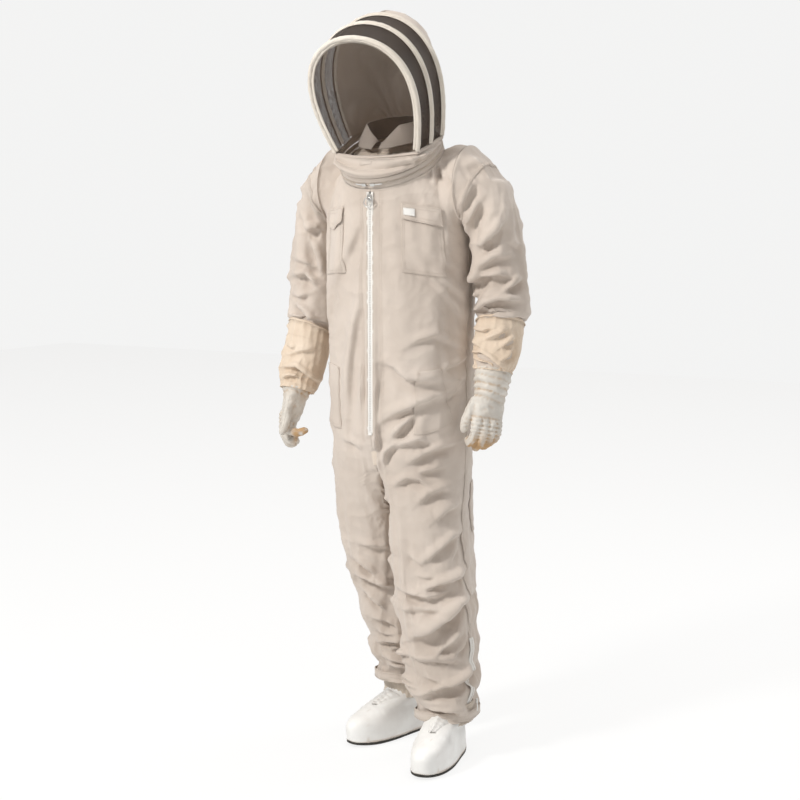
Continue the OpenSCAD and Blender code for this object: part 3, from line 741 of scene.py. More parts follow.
BODY_CREASES = [
    ([(-172, 1170), (-140, 1250), (-110, 1310), (-82, 1375)], 4, 24),
    ([(-128, 880), (-126, 980), (-112, 1090), (-96, 1160)], 5, 22),
    ([(-98, 870), (-94, 960), (-104, 1040)], 4, 14),
    ([(28, 1242), (70, 1212), (112, 1172), (150, 1122), (172, 1094)], 5, 26),
    ([(66, 1240), (120, 1196), (168, 1150)], 5, 20),
    ([(18, 1043), (50, 1060), (90, 1070), (122, 1054), (156, 1038)], 5, 18),
    ([(-50, 1000), (-20, 990), (12, 962), (62, 958), (136, 955)], 9, 26),
    ([(-48, 850), (0, 880), (52, 903), (112, 922), (146, 946)], 9, 22),
    ([(-22, 812), (10, 848), (44, 878)], 10, 16), ([(98, 903), (130, 915), (154, 938)], 4, 12),
    ([(108, 983), (150, 1000), (176, 1012)], 4, 16), ([(112, 1464), (138, 1424), (150, 1388)], 5, 14),
    ([(52, 1282), (86, 1256), (122, 1238), (156, 1224)], 4, 18), ([(-72, 835), (-66, 900), (-50, 975)], 4, 14),
    ([(-64, 770), (-58, 800), (-60, 850)], 6, 14), ([(-150, 800), (-120, 790), (-96, 775)], 4, 16),
    ([(-40, 742), (-34, 775), (-10, 802)], 6, 14), ([(-186, 1080), (-176, 1140), (-170, 1210)], 4, 16),
    ([(60, 1500), (74, 1478), (80, 1450)], 4, 10), ([(88, 1498), (96, 1474), (104, 1450)], 4, 10),
]


def leg_forms():
    """The legs, hips and chest of the stand inside the coverall."""
    forms = []
    heights, widths = [0.06, 0.12, 0.30, 0.38, 0.48, 0.62, 0.80], [0.045, 0.046, 0.062, 0.056, 0.068, 0.080, 0.088]
    for side, sign in SIDES.items():
        rings = []
        for z in np.linspace(0.06, 0.80, 26):
            x, y = table_at(LEGS[side], min(z, 0.66))[:2]
            if z > 0.60:
                x, y = mix(x, 0.080, (z - 0.60) / 0.2), mix(y, 0.0, (z - 0.60) / 0.2)
            wide = np.interp(z, heights, widths)
            rings.append(((sign * x, y, z), wide, wide * 1.12))
        forms.append(body_form("leg_form_" + side, rings))
    rings = []
    heights = [0.74, 0.90, 1.05, 1.30, 1.46]
    for z in np.linspace(heights[0], heights[-1], 24):
        wide = np.interp(z, heights, [0.162, 0.172, 0.155, 0.174, 0.14])
        deep = np.interp(z, heights, [0.108, 0.124, 0.114, 0.128, 0.09])
        rings.append(((0, 0, z), wide, deep))
    forms.append(body_form("trunk_form", rings))
    return forms


def lengthened(z, spare):
    """Heights with spare length let in, which gathers into folds when the sheet is draped."""
    table = np.array(spare)
    heights = np.linspace(0.05, 1.65, 161)
    added = np.cumsum(np.interp(heights, table[:, 0], table[:, 1])) * (heights[1] - heights[0])
    return z + np.interp(z, heights, added)


DRAPE_SHARE = 0.5           # how far the draped shape is followed, against the cut with its folds
CRUMPLE = 0.0016            # height of the fine crumples
# Height, and the spare length let in there for each metre.
BODY_SPARE = [
    (0.10, 0.22), (0.30, 0.26), (0.45, 0.22), (0.60, 0.12), (0.80, 0.08), (1.0, 0.06), (1.2, 0.04), (1.6, 0.02),
]
SLEEVE_SPARE = [(0.90, 0.2), (1.10, 0.26), (1.2, 0.18), (1.32, 0.10), (1.45, 0.04), (1.6, 0.02)]
GAUNTLET_SPARE = [(0.85, 0.16), (1.15, 0.14), (1.6, 0.1)]


def drape_coverall():
    cut = Cut()
    p = cut.points
    z = p[:, 2]
    normal = outward(p, cut.faces)
    rest = p.copy()
    rest[:, 2] = lengthened(z, BODY_SPARE)
    wander = 0.03 * noise_at(p, 0.16, 5)
    shin = np.clip((0.60 - z) / 0.2, 0, 1)
    seed = 0.006 * shin * ridges(p + wander[:, None], (0.35, 0.15, 1.0), 0.09)
    seed += 0.003 * noise_at(p, 0.12, 1)
    edges = {}
    for f in cut.faces:
        for i in range(len(f)):
            e = tuple(sorted((f[i], f[i - 1])))
            edges[e] = edges.get(e, 0) + 1
    border = np.zeros(len(p), bool)
    border[list({i for e, n in edges.items() if n == 1 for i in e})] = True
    zip_line = (p[:, 1] < 0) & (z > 0.815) & (np.abs(p[:, 0]) < 0.013)
    hold = (border | zip_line).astype(float)
    guides = LEG_CREASES + BODY_CREASES
    behind = scattered(3, 26, (-150, 150), (180, 700), 0.5, 8, 18)
    behind += scattered(4, 18, (-150, 150), (700, 1440), 0.6, 6, 24, (80, 180))
    fold = folds(p, normal, guides) + folds(p, normal, behind, -1)
    start = p + normal * ((seed + 0.6 * fold) * (1 - hold))[:, None]
    rest += normal * ((seed + 0.8 * fold) * (1 - hold))[:, None]
    pin = np.where(hold > 0, 1, 0.01)
    settled = drape("coverall_sheet", start, cut.faces, rest, pin, leg_forms(), 26)
    start = mix(start, settled, DRAPE_SHARE)
    cut.update(start)
    cut.hold = hold
    cut.normals = outward(start, cut.faces)
    cut.guides, cut.behind = guides, behind
    return cut


def pressed(points, normals, hold, guides, behind, sharp=1.0):
    """Fine folds and crumples pressed into cloth after it has been draped."""
    push = sharp * (folds(points, normals, guides) + folds(points, normals, behind, -1)) - 0.003
    keen = [(line, 0.55 * deep, 0.42 * wide) for line, deep, wide in guides]
    push += folds(points, normals, keen)
    push += CRUMPLE * (0.5 - np.abs(noise_at(points * [1, 1, 1.6], 0.055, 11)) * 2)
    push += 0.5 * CRUMPLE * (0.5 - np.abs(noise_at(points, 0.024, 12)) * 2)
    return points + normals * (push * (1 - hold))[:, None]


def panel_uv(grid):
    """Metres across and up a grid, for the weave."""
    rows, cols = grid.shape[:2]
    across, up = np.zeros((rows, cols)), np.zeros((rows, 1))
    across[:, 1:] = np.cumsum(np.linalg.norm(np.diff(grid, axis=1), axis=2), axis=1)
    up[1:, 0] = np.cumsum(np.linalg.norm(np.diff(grid[:, 0], axis=0), axis=1))
    return np.stack([across, np.repeat(up, cols, axis=1)], axis=2)


def add_uv(obj, uv):
    layer = obj.data.uv_layers.new(name="cloth")
    corner = np.zeros(len(obj.data.loops), int)
    obj.data.loops.foreach_get("vertex_index", corner)
    layer.data.foreach_set("uv", uv.reshape(-1, 2)[corner].astype(np.float32).ravel())


def sheet_piece(name, grid, body, nodes, material="cotton", loop=False, smooth=0, thick=0.0012, facing=None):
    """A sewn panel: the grid, smoothed if asked, with a little thickness.

    Its faces turn away from the point facing, or from its own middle.
    """
    rows, cols = grid.shape[:2]
    normal = grid_normals(grid, loop)
    middle = grid.reshape(-1, 3).mean(axis=0) if facing is None else np.asarray(facing, float)
    back = float(np.sum(normal * (grid - middle))) < 0
    obj = make_object(name, grid.reshape(-1, 3), grid_faces(rows, cols, loop=loop, back=back))
    add_uv(obj, panel_uv(grid))
    obj.data.materials.append(MATERIALS[material])
    if smooth:
        m = obj.modifiers.new("smooth", "SUBSURF")
        m.levels = m.render_levels = smooth
    if thick:
        m = obj.modifiers.new("thick", "SOLIDIFY")
        m.thickness = thick
        m.offset = -1
    if nodes:
        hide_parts(*nodes)
    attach(obj, body)
    return obj


def fine_grid(cut, parts):
    """Panels joined side by side, made finer and pressed. Each part is a grid's name and whether it is turned."""
    def joined(source):
        panels = [source[name][:, ::-1] if turned else source[name] for name, turned in parts]
        return np.concatenate([panels[0]] + [g[:, 1:] for g in panels[1:]], axis=1)

    normals = {name: cut.normals[ids] for name, ids in cut.index.items()}
    holds = {name: cut.hold[ids][..., None] for name, ids in cut.index.items()}
    grid, normal, hold = (finer(joined(source), 3) for source in (cut.grids, normals, holds))
    hold = np.clip(hold.reshape(-1), 0, 1)
    p = pressed(grid.reshape(-1, 3), unit(normal.reshape(-1, 3)), hold, cut.guides, cut.behind)
    if "leg" not in parts[0][0]:
        # The body stays inside the planes of the armholes.
        limit = CHEST - 0.0006
        p[:, 0] = np.clip(p[:, 0], -limit, limit)
    return p.reshape(grid.shape)


def welded_piece(name, parts, body, nodes):
    """Grids that share an edge, made into one panel. Each part is a grid and a point that its faces turn away from."""
    points, faces, maps = [], [], []
    for grid, facing in parts:
        back = float(np.sum(grid_normals(grid) * (grid - np.asarray(facing, float)))) < 0
        faces += grid_faces(*grid.shape[:2], start=sum(len(p) for p in points), back=back)
        points.append(grid.reshape(-1, 3))
        maps.append(panel_uv(grid).reshape(-1, 2))
    obj = make_object(name, np.concatenate(points), faces)
    add_uv(obj, np.concatenate(maps))
    work = bmesh.new()
    work.from_mesh(obj.data)
    bmesh.ops.remove_doubles(work, verts=work.verts, dist=0.0003)
    work.to_mesh(obj.data)
    work.free()
    obj.data.materials.append(MATERIALS["cotton"])
    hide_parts(*nodes)
    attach(obj, body)
    return obj


def make_coverall(cut):
    cut.fine = {}
    middle = 3 * QUARTER
    for side in SIDES:
        for name in ("front", "back"):
            halves = [(f"leg_{name}_inner_{side}", True), (f"leg_{name}_outer_{side}", False)]
            cut.fine[f"leg_{name}_{side}"] = fine_grid(cut, halves)
    back = fine_grid(cut, [("back_right", True), ("back_left", False)])
    back[0, middle:] = cut.fine["leg_back_left"][-1, middle:]
    back[0, :middle + 1] = cut.fine["leg_back_right"][-1, middle:][::-1]
    cut.fine["back"] = back
    parts = [(back, (0, -0.1, 1.1))]
    parts += [(cut.fine["leg_back_" + side], (sign * 0.1, -0.5, 0.4)) for side, sign in SIDES.items()]
    welded_piece("back", parts, "suit", ["back_panel", "leg_back_left", "leg_back_right"])
    for side, sign in SIDES.items():
        grid = fine_grid(cut, [("front_" + side, False)])
        leg = cut.fine["leg_front_" + side]
        grid[0] = leg[-1, middle:]
        # The two fronts part on either side of the zip.
        edge = np.where((grid[:, 0, 2] > 0.824) & (grid[:, 0, 2] < 1.424), 0.0070, 0.0004)
        edge[0] = abs(grid[0, 0, 0])
        grid[1:, :3, 0] = sign * np.maximum(edge[1:, None], np.abs(grid[1:, :3, 0]))
        grid[1:, 0, 0] = sign * edge[1:]
        cut.fine["front_" + side] = grid
        parts = [(grid, (0, 0.1, 1.1)), (leg, (sign * 0.1, 0.5, 0.4))]
        welded_piece("front_" + side, parts, "suit", ["front_panel_" + side, "leg_front_" + side])
        # The turned-up hem round the ankle.
        ring = np.concatenate([leg[4], cut.fine["leg_back_" + side][4][::-1][1:-1]])
        out = unit((ring - ring.mean(axis=0)) * [1, 1, 0])
        strip("hem_" + side, ring + out * 0.0004, out, 0.024, 0.0012, "suit", loop=True)
        for k in (-0.008, 0.009):
            stitch(closed(ring) + [0, 0, k] + closed(out) * 0.0020, closed(out), "suit")


# ---------------------------------------------------------------- sewing on the draped cloth

class Skin:
    """Rays onto the draped coverall, for what is sewn onto it."""

    def __init__(self, grids):
        points, faces = [], []
        for grid in grids:
            start = sum(len(p) for p in points)
            points.append(grid.reshape(-1, 3))
            faces += grid_faces(*grid.shape[:2], start=start)
        self.tree = BVHTree.FromPolygons([tuple(p) for p in np.concatenate(points)], faces)

    def reach(self, middle, way):
        """How far the skin lies from a middle in one direction."""
        far, missed = 0.6, 0.15
        place, _, _, distance = self.tree.ray_cast(Vector(middle) + far * Vector(way), -Vector(way))
        return missed if place is None else far - distance


def blurred(a):
    pad = np.pad(a, 1, mode="edge")
    return (pad[:-2, 1:-1] + pad[2:, 1:-1] + pad[1:-1, :-2] + pad[1:-1, 2:] + 2 * a) / 6


def patch(skin, middle, turns, heights, off, soft=3):
    """A grid that lies just clear of the skin, at turns in degrees from the front and at given heights."""
    a = np.radians(turns)
    reach = np.zeros(turns.shape)
    for i in np.ndindex(turns.shape):
        reach[i] = skin.reach((middle[0], middle[1], heights[i]), (math.sin(a[i]), -math.cos(a[i]), 0))
    smooth = reach.copy()
    for _ in range(soft):
        smooth = blurred(smooth)
    reach = np.maximum(reach, smooth) + off
    return np.stack([middle[0] + reach * np.sin(a), middle[1] - reach * np.cos(a), heights], axis=2)


def outline_grid(left, right, bottom, top, cols, rows):
    """Turns and heights of a four-sided patch. Each side is given at its two ends, bottom first or left first."""
    t, s = np.meshgrid(np.linspace(0, 1, rows), np.linspace(0, 1, cols), indexing="ij")
    low, high = mix(bottom[0], bottom[1], s), mix(top[0], top[1], s)
    return mix(mix(left[0], left[1], t), mix(right[0], right[1], t), s), mix(low, high, t)


def strip(name, line, normal, width, lift, body, material="cotton", nodes=(), loop=False):
    """A narrow raised band along a line, such as a felled seam or a hem."""
    line, normal = np.asarray(line, float), unit(normal)
    if loop:
        along = unit(np.roll(line, -1, axis=0) - np.roll(line, 1, axis=0))
    else:
        along = unit(np.gradient(line, axis=0))
    side = unit(np.cross(along, normal))
    section = ((-0.5, 0.0), (-0.47, 1.0), (0, 1.25), (0.47, 1.0), (0.5, 0.0))
    rows = np.array([line + side * (width * k) + normal * (lift * h) for k, h in section])
    below = line.mean(axis=0) - 2 * normal.mean(axis=0)
    return sheet_piece(name, rows, body, list(nodes), material, loop=loop, thick=0, facing=below)


STITCHES = {}


def stitch(line, normal, body, lift=0.0006, pitch=0.0042, length=0.0029, wide=0.00055):
    """Adds a row of stitches along a line, to be made into one object for each body."""
    line, normal = np.asarray(line, float), unit(normal)
    steps = np.concatenate([[0], np.cumsum(np.linalg.norm(np.diff(line, axis=0), axis=1))])
    count = int(steps[-1] / pitch)
    if count < 2:
        return
    at = (np.arange(count) + 0.5) * pitch
    p = np.stack([np.interp(at, steps, line[:, k]) for k in range(3)], axis=1)
    q = np.stack([np.interp(at + 0.0005, steps, line[:, k]) for k in range(3)], axis=1)
    n = unit(np.stack([np.interp(at, steps, normal[:, k]) for k in range(3)], axis=1))
    along = unit(q - p)
    side = unit(np.cross(along, n))
    p = p + lift * n
    half = along * length / 2
    corners = [p - half, p + side * wide, p + n * wide, p - side * wide, p - n * wide, p + half]
    points, faces = STITCHES.setdefault(body, ([], []))
    for i in range(count):
        s = len(points)
        points.extend(c[i] for c in corners)
        for k in range(4):
            a, b = s + 1 + k, s + 1 + (k + 1) % 4
            faces.append((s, b, a))
            faces.append((s + 5, a, b))


def make_stitches():
    for body, (points, faces) in STITCHES.items():
        obj = make_object("stitches_" + body, points, faces)
        add_uv(obj, np.asarray(points)[:, [0, 2]])
        obj.data.materials.append(MATERIALS["thread"])
        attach(obj, body)


def inset(grid, normal, margin, sides):
    """Lines that run a margin inside a patch's edges, and their normals. The sides are b, l, t and r."""
    across = np.linalg.norm(grid[0, 1:] - grid[0, :-1], axis=1).mean()
    up = np.linalg.norm(grid[1:, 0] - grid[:-1, 0], axis=1).mean()
    c, r = max(margin / across, 0.01), max(margin / up, 0.01)
    rows, cols = grid.shape[:2]

    def at(row, col):
        i, j = min(int(row), rows - 2), min(int(col), cols - 2)
        s, t = row - i, col - j
        low, high = mix(grid[i, j], grid[i, j + 1], t), mix(grid[i + 1, j], grid[i + 1, j + 1], t)
        return mix(low, high, s), normal[i, j]

    ends = {
        "b": [(r, mix(c, cols - 1 - c, t)) for t in np.linspace(0, 1, 30)],
        "t": [(rows - 1 - r, mix(c, cols - 1 - c, t)) for t in np.linspace(0, 1, 30)],
        "l": [(mix(r, rows - 1 - r, t), c) for t in np.linspace(0, 1, 30)],
        "r": [(mix(r, rows - 1 - r, t), cols - 1 - c) for t in np.linspace(0, 1, 30)],
    }
    for side in sides:
        pairs = [at(*rc) for rc in ends[side]]
        yield np.array([p for p, _ in pairs]), np.array([n for _, n in pairs])


def sewn_patch(name, grid, body, nodes, middle, margins=(0.003, 0.009), sides="blr", thick=0.0016, material="cotton"):
    """A panel with rows of stitches inside its edges."""
    normal = turned_away(grid_normals(grid), grid, np.asarray(middle))
    sheet_piece(name, grid, body, nodes, material, smooth=1, thick=thick, facing=middle)
    for margin in margins:
        for line, n in inset(grid, normal, margin, sides):
            stitch(line, n, body, lift=0.0004)


# Turns in degrees from the front of each chest pocket's sides, and heights in metres of the ends of its edges.
CHEST_POCKETS = {
    "left": dict(
        turn=(29, 64), low=(1.228, 1.214), high=(1.372, 1.350), flap_low=(1.360, 1.338), flap_high=(1.397, 1.384),
        dip=0.0,
    ),
    "right": dict(
        turn=(32, 60), low=(1.222, 1.216), high=(1.365, 1.350), flap_low=(1.352, 1.345), flap_high=(1.388, 1.378),
        dip=0.020,
    ),
}


def make_chest_pockets(skin):
    middle = (0, SHOULDER_Y)
    heart = (0, 0.1, 1.3)
    for side, c in CHEST_POCKETS.items():
        sign = SIDES[side]
        inner, outer = c["turn"]
        turns, heights = outline_grid((inner, inner - 0.5), (outer - 1, outer - 4), c["low"], c["high"], 26, 24)
        grid = patch(skin, middle, sign * turns, heights, 0.0014)
        sag = np.sin(PI * np.linspace(0, 1, 24))[:, None] * np.sin(PI * np.linspace(0, 1, 26))[None]
        grid[..., 1] -= 0.004 * sag
        sewn_patch("pocket_" + side, grid, "suit", ["chest_pocket_" + side], heart)
        sides = (inner - 0.6, inner - 0.6), (outer - 4, outer - 5)
        turns, heights = outline_grid(*sides, c["flap_low"], c["flap_high"], 26, 12)
        across = np.linspace(0, 1, 26)
        point = np.clip(1 - np.abs(across - 0.42) / 0.42, 0, 1) if c["dip"] else np.zeros(26)
        heights -= c["dip"] * point[None] * np.linspace(1, 0, 12)[:, None]
        grid = patch(skin, middle, sign * turns, heights, 0.0052, 6)
        lift = np.linspace(1, 0, 12)[:, None] ** 1.5 * (0.0025 + 0.0015 * np.sin(4 * PI * across))[None]
        grid[..., 0] += sign * lift * 0.5
        grid[..., 1] -= lift
        flap = "flap_" + side
        sewn_patch(flap, grid, flap, ["pocket_flap_" + side], heart, thick=0.0022, sides="bltr")
    turns, heights = outline_grid((30.0, 30.0), (39.5, 39.3), (1.368, 1.364), (1.386, 1.383), 10, 6)
    label = patch(skin, middle, turns, heights, 0.0082, 6)
    sewn_patch("label", label, "flap_left", ["pocket_label"], heart, (0.0012,), "bltr", 0.0007, "label")


def make_lower_pockets(skin):
    middle = (0, SHOULDER_Y)
    for side, sign in SIDES.items():
        turns, heights = outline_grid((38, 40), (72, 60), (0.828, 0.858), (0.985, 0.992), 26, 24)
        bow = 0.010 * np.sin(PI * np.linspace(0, 1, 26))[None] * np.linspace(1, 0, 24)[:, None]
        grid = patch(skin, middle, sign * turns, heights - bow, 0.0016)
        sewn_patch("hip_pocket_" + side, grid, "suit", ["hip_pocket_" + side], (0, 0.1, 0.9))
        # Bar tacks at the top corners of the hip pocket.
        for corner in (grid[-2, 1], grid[-2, -2]):
            n = unit(corner - [0, SHOULDER_Y, corner[2]])
            for k in range(5):
                at = corner + [0, 0, 0.0015 * k]
                across = unit(np.cross(n, [0, 0, 1]))
                stitch(np.array([at - across * 0.005, at + across * 0.005]), np.array([n, n]), "suit", lift=0.0022)
    turns, heights = outline_grid((118, 112), (146, 140), (0.560, 0.560), (0.690, 0.690), 14, 28)
    grid = patch(skin, (0.085, 0.0), turns, heights, 0.0026)
    sewn_patch("tool_pocket", grid, "suit", ["tool_pocket"], (0.085, 0.0, 0.62))


SEAM_WIDE = 0.011
SEAM_HIGH = 0.0011
TWIN = 0.0035               # from the middle of a seam to each of its two rows of stitches


def side_seam(name, line):
    """A felled seam down the side of the body, with its two rows of stitches."""
    normal = unit((line - [0, SHOULDER_Y, 0]) * [1, 1, 0])
    soft = line.copy()
    for _ in range(3):
        soft[1:-1] = (soft[:-2] + soft[1:-1] * 2 + soft[2:]) / 4
    raised = soft - normal * 0.0008
    strip(name, raised, normal, SEAM_WIDE, SEAM_HIGH, "suit")
    across = unit(np.cross(unit(np.gradient(soft, axis=0)), normal))
    for k in (-TWIN, TWIN):
        stitch(raised + across * k + normal * 0.0012, normal, "suit")


def make_seams(cut, skin):
    for side, sign in SIDES.items():
        body = cut.fine["front_" + side][:, -1]
        side_seam("side_seam_" + side, body[body[:, 2] < ARMPIT_Z - 0.004])
        outer = cut.fine["leg_front_" + side][:, -1]
        outer = outer[outer[:, 2] > 0.31]
        middles = np.array([leg_middle(side, z) for z in outer[:, 2]])
        normal = unit((outer - middles) * [1, 1, 0])
        strip("outseam_" + side, outer + normal * 0.0002, normal, SEAM_WIDE, SEAM_HIGH, "suit")
        up = unit(np.gradient(outer, axis=0))
        for k in (-TWIN, TWIN):
            stitch(outer + normal * 0.0014 + np.cross(up, normal) * k, normal, "suit")
        # The fly's stitch lines on either side of the zip.
        for turn in (9.0, 11.2):
            heights = np.linspace(0.80, 1.43, 150)[:, None]
            turns = np.full(heights.shape, sign * turn)
            line = patch(skin, (0, SHOULDER_Y), turns, heights, 0.0006, 0)[:, 0]
            stitch(line, np.tile([sign * 0.15, -1.0, 0], (len(line), 1)), "suit")


# ---------------------------------------------------------------- front zip

ZIP_ENDS = (0.826, 1.4235)
ZIP_TAPE_X = (0.0021, 0.0040, 0.0060, 0.0080, 0.0092)
ZIP_TAPE_Y = -0.1478


def make_front_zip():
    heights = np.linspace(*ZIP_ENDS, 240)
    for side, sign in SIDES.items():
        wave = 0.0004 * np.sin(heights * 260) + 0.0003 * np.sin(heights * 97 + sign)
        grid = np.array([
            [(sign * x, ZIP_TAPE_Y + w * (k / 4), z) for k, x in enumerate(ZIP_TAPE_X)] for w, z in zip(wave, heights)
        ])
        tape = ["front_zip_tape_" + side]
        sheet_piece("zip_tape_" + side, grid, "suit", tape, "tape", thick=0.0008, facing=(0, 0.3, 1.1))
        edge = np.stack([np.full(240, sign * 0.0084), np.full(240, -0.1502), heights], axis=1)
        stitch(edge, np.tile([0, -1.0, 0], (240, 1)), "suit", lift=0.0002)
    # Below the zip the two fronts are closed by a facing.
    rows = []
    for t in np.linspace(0, 1, 24):
        z, y = mix(0.742, 0.8235, t), mix(-0.1205, -0.1455, t)
        rows.append([(x, y + 0.0015 * abs(x) / 0.01, z) for x in (-0.009, -0.0045, 0, 0.0045, 0.009)])
    sheet_piece("zip_facing", np.array(rows), "suit", ["centre_seam_tape"], "inside", facing=(0, 0.3, 0.8))
    refinish(["front_zip_teeth", "front_zip_stop"], "acetal")
    refinish(["front_zip_slider", "front_zip_ring"], "plated")


# ---------------------------------------------------------------- ankle zips and cuffs

# The lower and upper edge of each ankle cuff, and its radius. The right one shows below the leg.
CUFF = {"left": (0.090, 0.140, 0.0655), "right": (0.104, 0.156, 0.0630)}
ANKLE_ZIP = {"left": (0.132, 0.306), "right": (0.150, 0.306)}


def make_ankles(cut):
    for side, sign in SIDES.items():
        low, high = ANKLE_ZIP[side]
        outer = cut.fine["leg_front_" + side][:, -1]
        outer = outer[(outer[:, 2] > low) & (outer[:, 2] < high)]
        normal = np.tile([sign * 1.0, 0, 0.05], (len(outer), 1))
        name = "ankle_zip_" + side
        strip(name, outer + [sign * 0.0012, 0, 0], normal, 0.020, 0.0012, "suit", "tape", [name])
        stitch(outer + [sign * 0.0030, 0, 0], normal, "suit", pitch=0.003, length=0.0024, wide=0.0011)
        refinish(["ankle_zip_slider_" + side], "plated")
        place = leg_middle(side, 0.10)
        low, high, size = CUFF[side]
        sides, rows = 120, 16
        grid = []
        for r in range(rows):
            t = r / (rows - 1)
            ring = []
            for k in range(sides):
                a = 2 * PI * k / sides
                ruffle = 0.0016 * math.sin(34 * a + 1.3 * math.sin(3 * a)) * (0.4 + abs(2 * t - 1))
                radius = size - 0.0035 * math.sin(2 * PI * t) * (1 - t) + ruffle
                z = mix(low, high, t) + 0.002 * math.sin(3 * a + 1)
                ring.append(place + [radius * math.cos(a), radius * math.sin(a), z])
            grid.append(ring)
        sheet_piece("ankle_cuff_sheet_" + side, np.array(grid), "suit", ["ankle_cuff_" + side], "elastic", loop=True)


# ---------------------------------------------------------------- sleeves, gauntlets and gloves

ARMS = {
    "left": dict(
        elbow=(0.271, 0.042, 1.145), along=(-5, -46, -184),
        shoulder=[(0, 0.100), (20, 0.088), (40, 0.077), (60, 0.073), (78, 0.073)],
        sleeve=[(0.024, 0.070), (0.042, 0.057), (0.120, 0.050), (0.165, 0.045)],
        gauntlet=[(0.044, 0.060), (0.050, 0.0625), (0.090, 0.0640), (0.125, 0.0610), (0.152, 0.0555), (0.168, 0.0480)],
    ),
    "right": dict(
        elbow=(0.273, 0.027, 1.122), along=(14, -66, -200),
        shoulder=[(0, 0.100), (20, 0.086), (40, 0.073), (60, 0.066), (78, 0.066)],
        sleeve=[(0.038, 0.070), (0.056, 0.056), (0.120, 0.050), (0.165, 0.045)],
        gauntlet=[
            (0.056, 0.0600), (0.062, 0.0625), (0.095, 0.0645), (0.140, 0.0640), (0.180, 0.0610), (0.208, 0.0540),
            (0.226, 0.0450),
        ],
    ),
}
ROUND = 60                  # columns round a sleeve
ARMPIT = np.array([CHEST + 0.0005, SHOULDER_Y, ARMPIT_Z])


def ring_about(middle, radius, along, cols=ROUND):
    n = unit(along)
    out = unit(np.array([1.0, 0, 0]) - n[0] * n)
    side = np.cross(n, out)
    a = 2 * PI * np.arange(cols) / cols
    return middle + radius * (np.cos(a)[:, None] * out + np.sin(a)[:, None] * side)


def past_elbow(arm, distance):
    return np.array(arm["elbow"]) + distance * unit(arm["along"])


def sleeve_rings(arm):
    rings = []
    a = 2 * PI * np.arange(ROUND) / ROUND
    for turn, radius in arm["shoulder"]:
        t = math.radians(turn)
        n = np.array([math.cos(t), 0, -math.sin(t)])
        up = np.array([math.sin(t), 0, math.cos(t)])
        round_it = np.cos(a)[:, None] * up + np.sin(a)[:, None] * np.cross(n, up)
        rings.append(ARMPIT + radius * up + radius * round_it)
    elbow = np.array(arm["elbow"])
    rings.append(ring_about(mix(ARMPIT + [0.076, 0, 0], elbow, 0.45) + [0, 0.006, 0], 0.075, (0.05, 0.15, -1)))
    rings.append(ring_about(elbow, 0.076, (0, -0.05, -1)))
    rings += [ring_about(past_elbow(arm, d), r, arm["along"]) for d, r in arm["sleeve"]]
    return rings


ARM_CREASES = {
    "left": [
        ([(160, 1190), (178, 1200), (205, 1214), (240, 1220), (276, 1214)], 12, 18),
        ([(258, 1182), (285, 1198), (308, 1212)], 9, 16),
        ([(184, 1128), (210, 1150), (240, 1160), (304, 1156)], 12, 16),
        ([(180, 1108), (230, 1118), (298, 1114)], 7, 11),
        ([(170, 1180), (200, 1240), (232, 1262), (292, 1268)], 8, 22),
        ([(196, 1286), (222, 1308), (262, 1356)], 10, 20),
        ([(166, 1300), (172, 1350), (200, 1404)], 9, 18), ([(182, 1292), (200, 1290), (214, 1312)], 8, 14),
        ([(150, 1375), (166, 1412), (186, 1448)], 6, 14), ([(260, 1300), (290, 1290), (306, 1270)], 5, 16),
        ([(170, 1140), (184, 1170), (190, 1190)], 6, 12), ([(150, 1480), (190, 1490), (220, 1470)], 3, 18),
        ([(210, 1130), (240, 1138), (280, 1134)], 5, 8),
    ],
    "right": [
        ([(-238, 1425), (-228, 1385), (-212, 1350)], 6, 14), ([(-248, 1318), (-226, 1328), (-204, 1326)], 9, 18),
        ([(-236, 1300), (-222, 1262), (-204, 1212)], 8, 18), ([(-292, 1200), (-250, 1210), (-218, 1176)], 9, 20),
        ([(-280, 1136), (-256, 1115), (-226, 1084)], 9, 16), ([(-286, 1252), (-240, 1236), (-204, 1214)], 6, 18),
        ([(-284, 1100), (-250, 1092), (-214, 1098)], 5, 10), ([(-262, 1370), (-250, 1340), (-232, 1320)], 5, 14),
        ([(-290, 1160), (-262, 1150), (-236, 1160)], 5, 14),
    ],
}
GAUNTLET_CREASES = {
    "left": [
        ([(168, 1086), (200, 1082), (228, 1092)], 4, 10),
        ([(166, 1024), (196, 1030), (216, 1019), (240, 1000), (264, 984)], 7, 12),
        ([(178, 1012), (210, 1006), (238, 988)], 6, 9), ([(204, 1060), (240, 1074), (272, 1090)], 5, 14),
        ([(248, 1044), (270, 1058), (288, 1066)], 5, 12), ([(170, 1060), (182, 1048), (200, 1040)], 4, 12),
        ([(256, 1012), (272, 1024), (280, 1040)], 4, 10),
    ],
    "right": [
        ([(-312, 968), (-270, 972), (-232, 942), (-204, 926)], 8, 13),
        ([(-300, 1000), (-260, 1012), (-214, 1016)], 4, 14),
        ([(-306, 914), (-270, 906), (-238, 890)], 6, 9), ([(-310, 940), (-290, 950), (-262, 946)], 5, 10),
        ([(-300, 1030), (-286, 1020), (-270, 1022)], 4, 10),
    ],
}


def arm_form(name, arm, sign):
    rings = []
    elbow = np.array(arm["elbow"])
    for z in np.linspace(1.44, 0.90, 26):
        if z > elbow[2]:
            middle = mix(elbow, np.array([0.235, SHOULDER_Y, 1.44]), (z - elbow[2]) / (1.44 - elbow[2]))
        else:
            d = unit(arm["along"])
            middle = elbow + d * (z - elbow[2]) / d[2]
        wide = np.interp(z, [0.90, 1.0, 1.14, 1.3, 1.44], [0.030, 0.033, 0.045, 0.050, 0.052])
        rings.append(((sign * middle[0], middle[1], z), wide, wide))
    return body_form(name, rings[::-1])


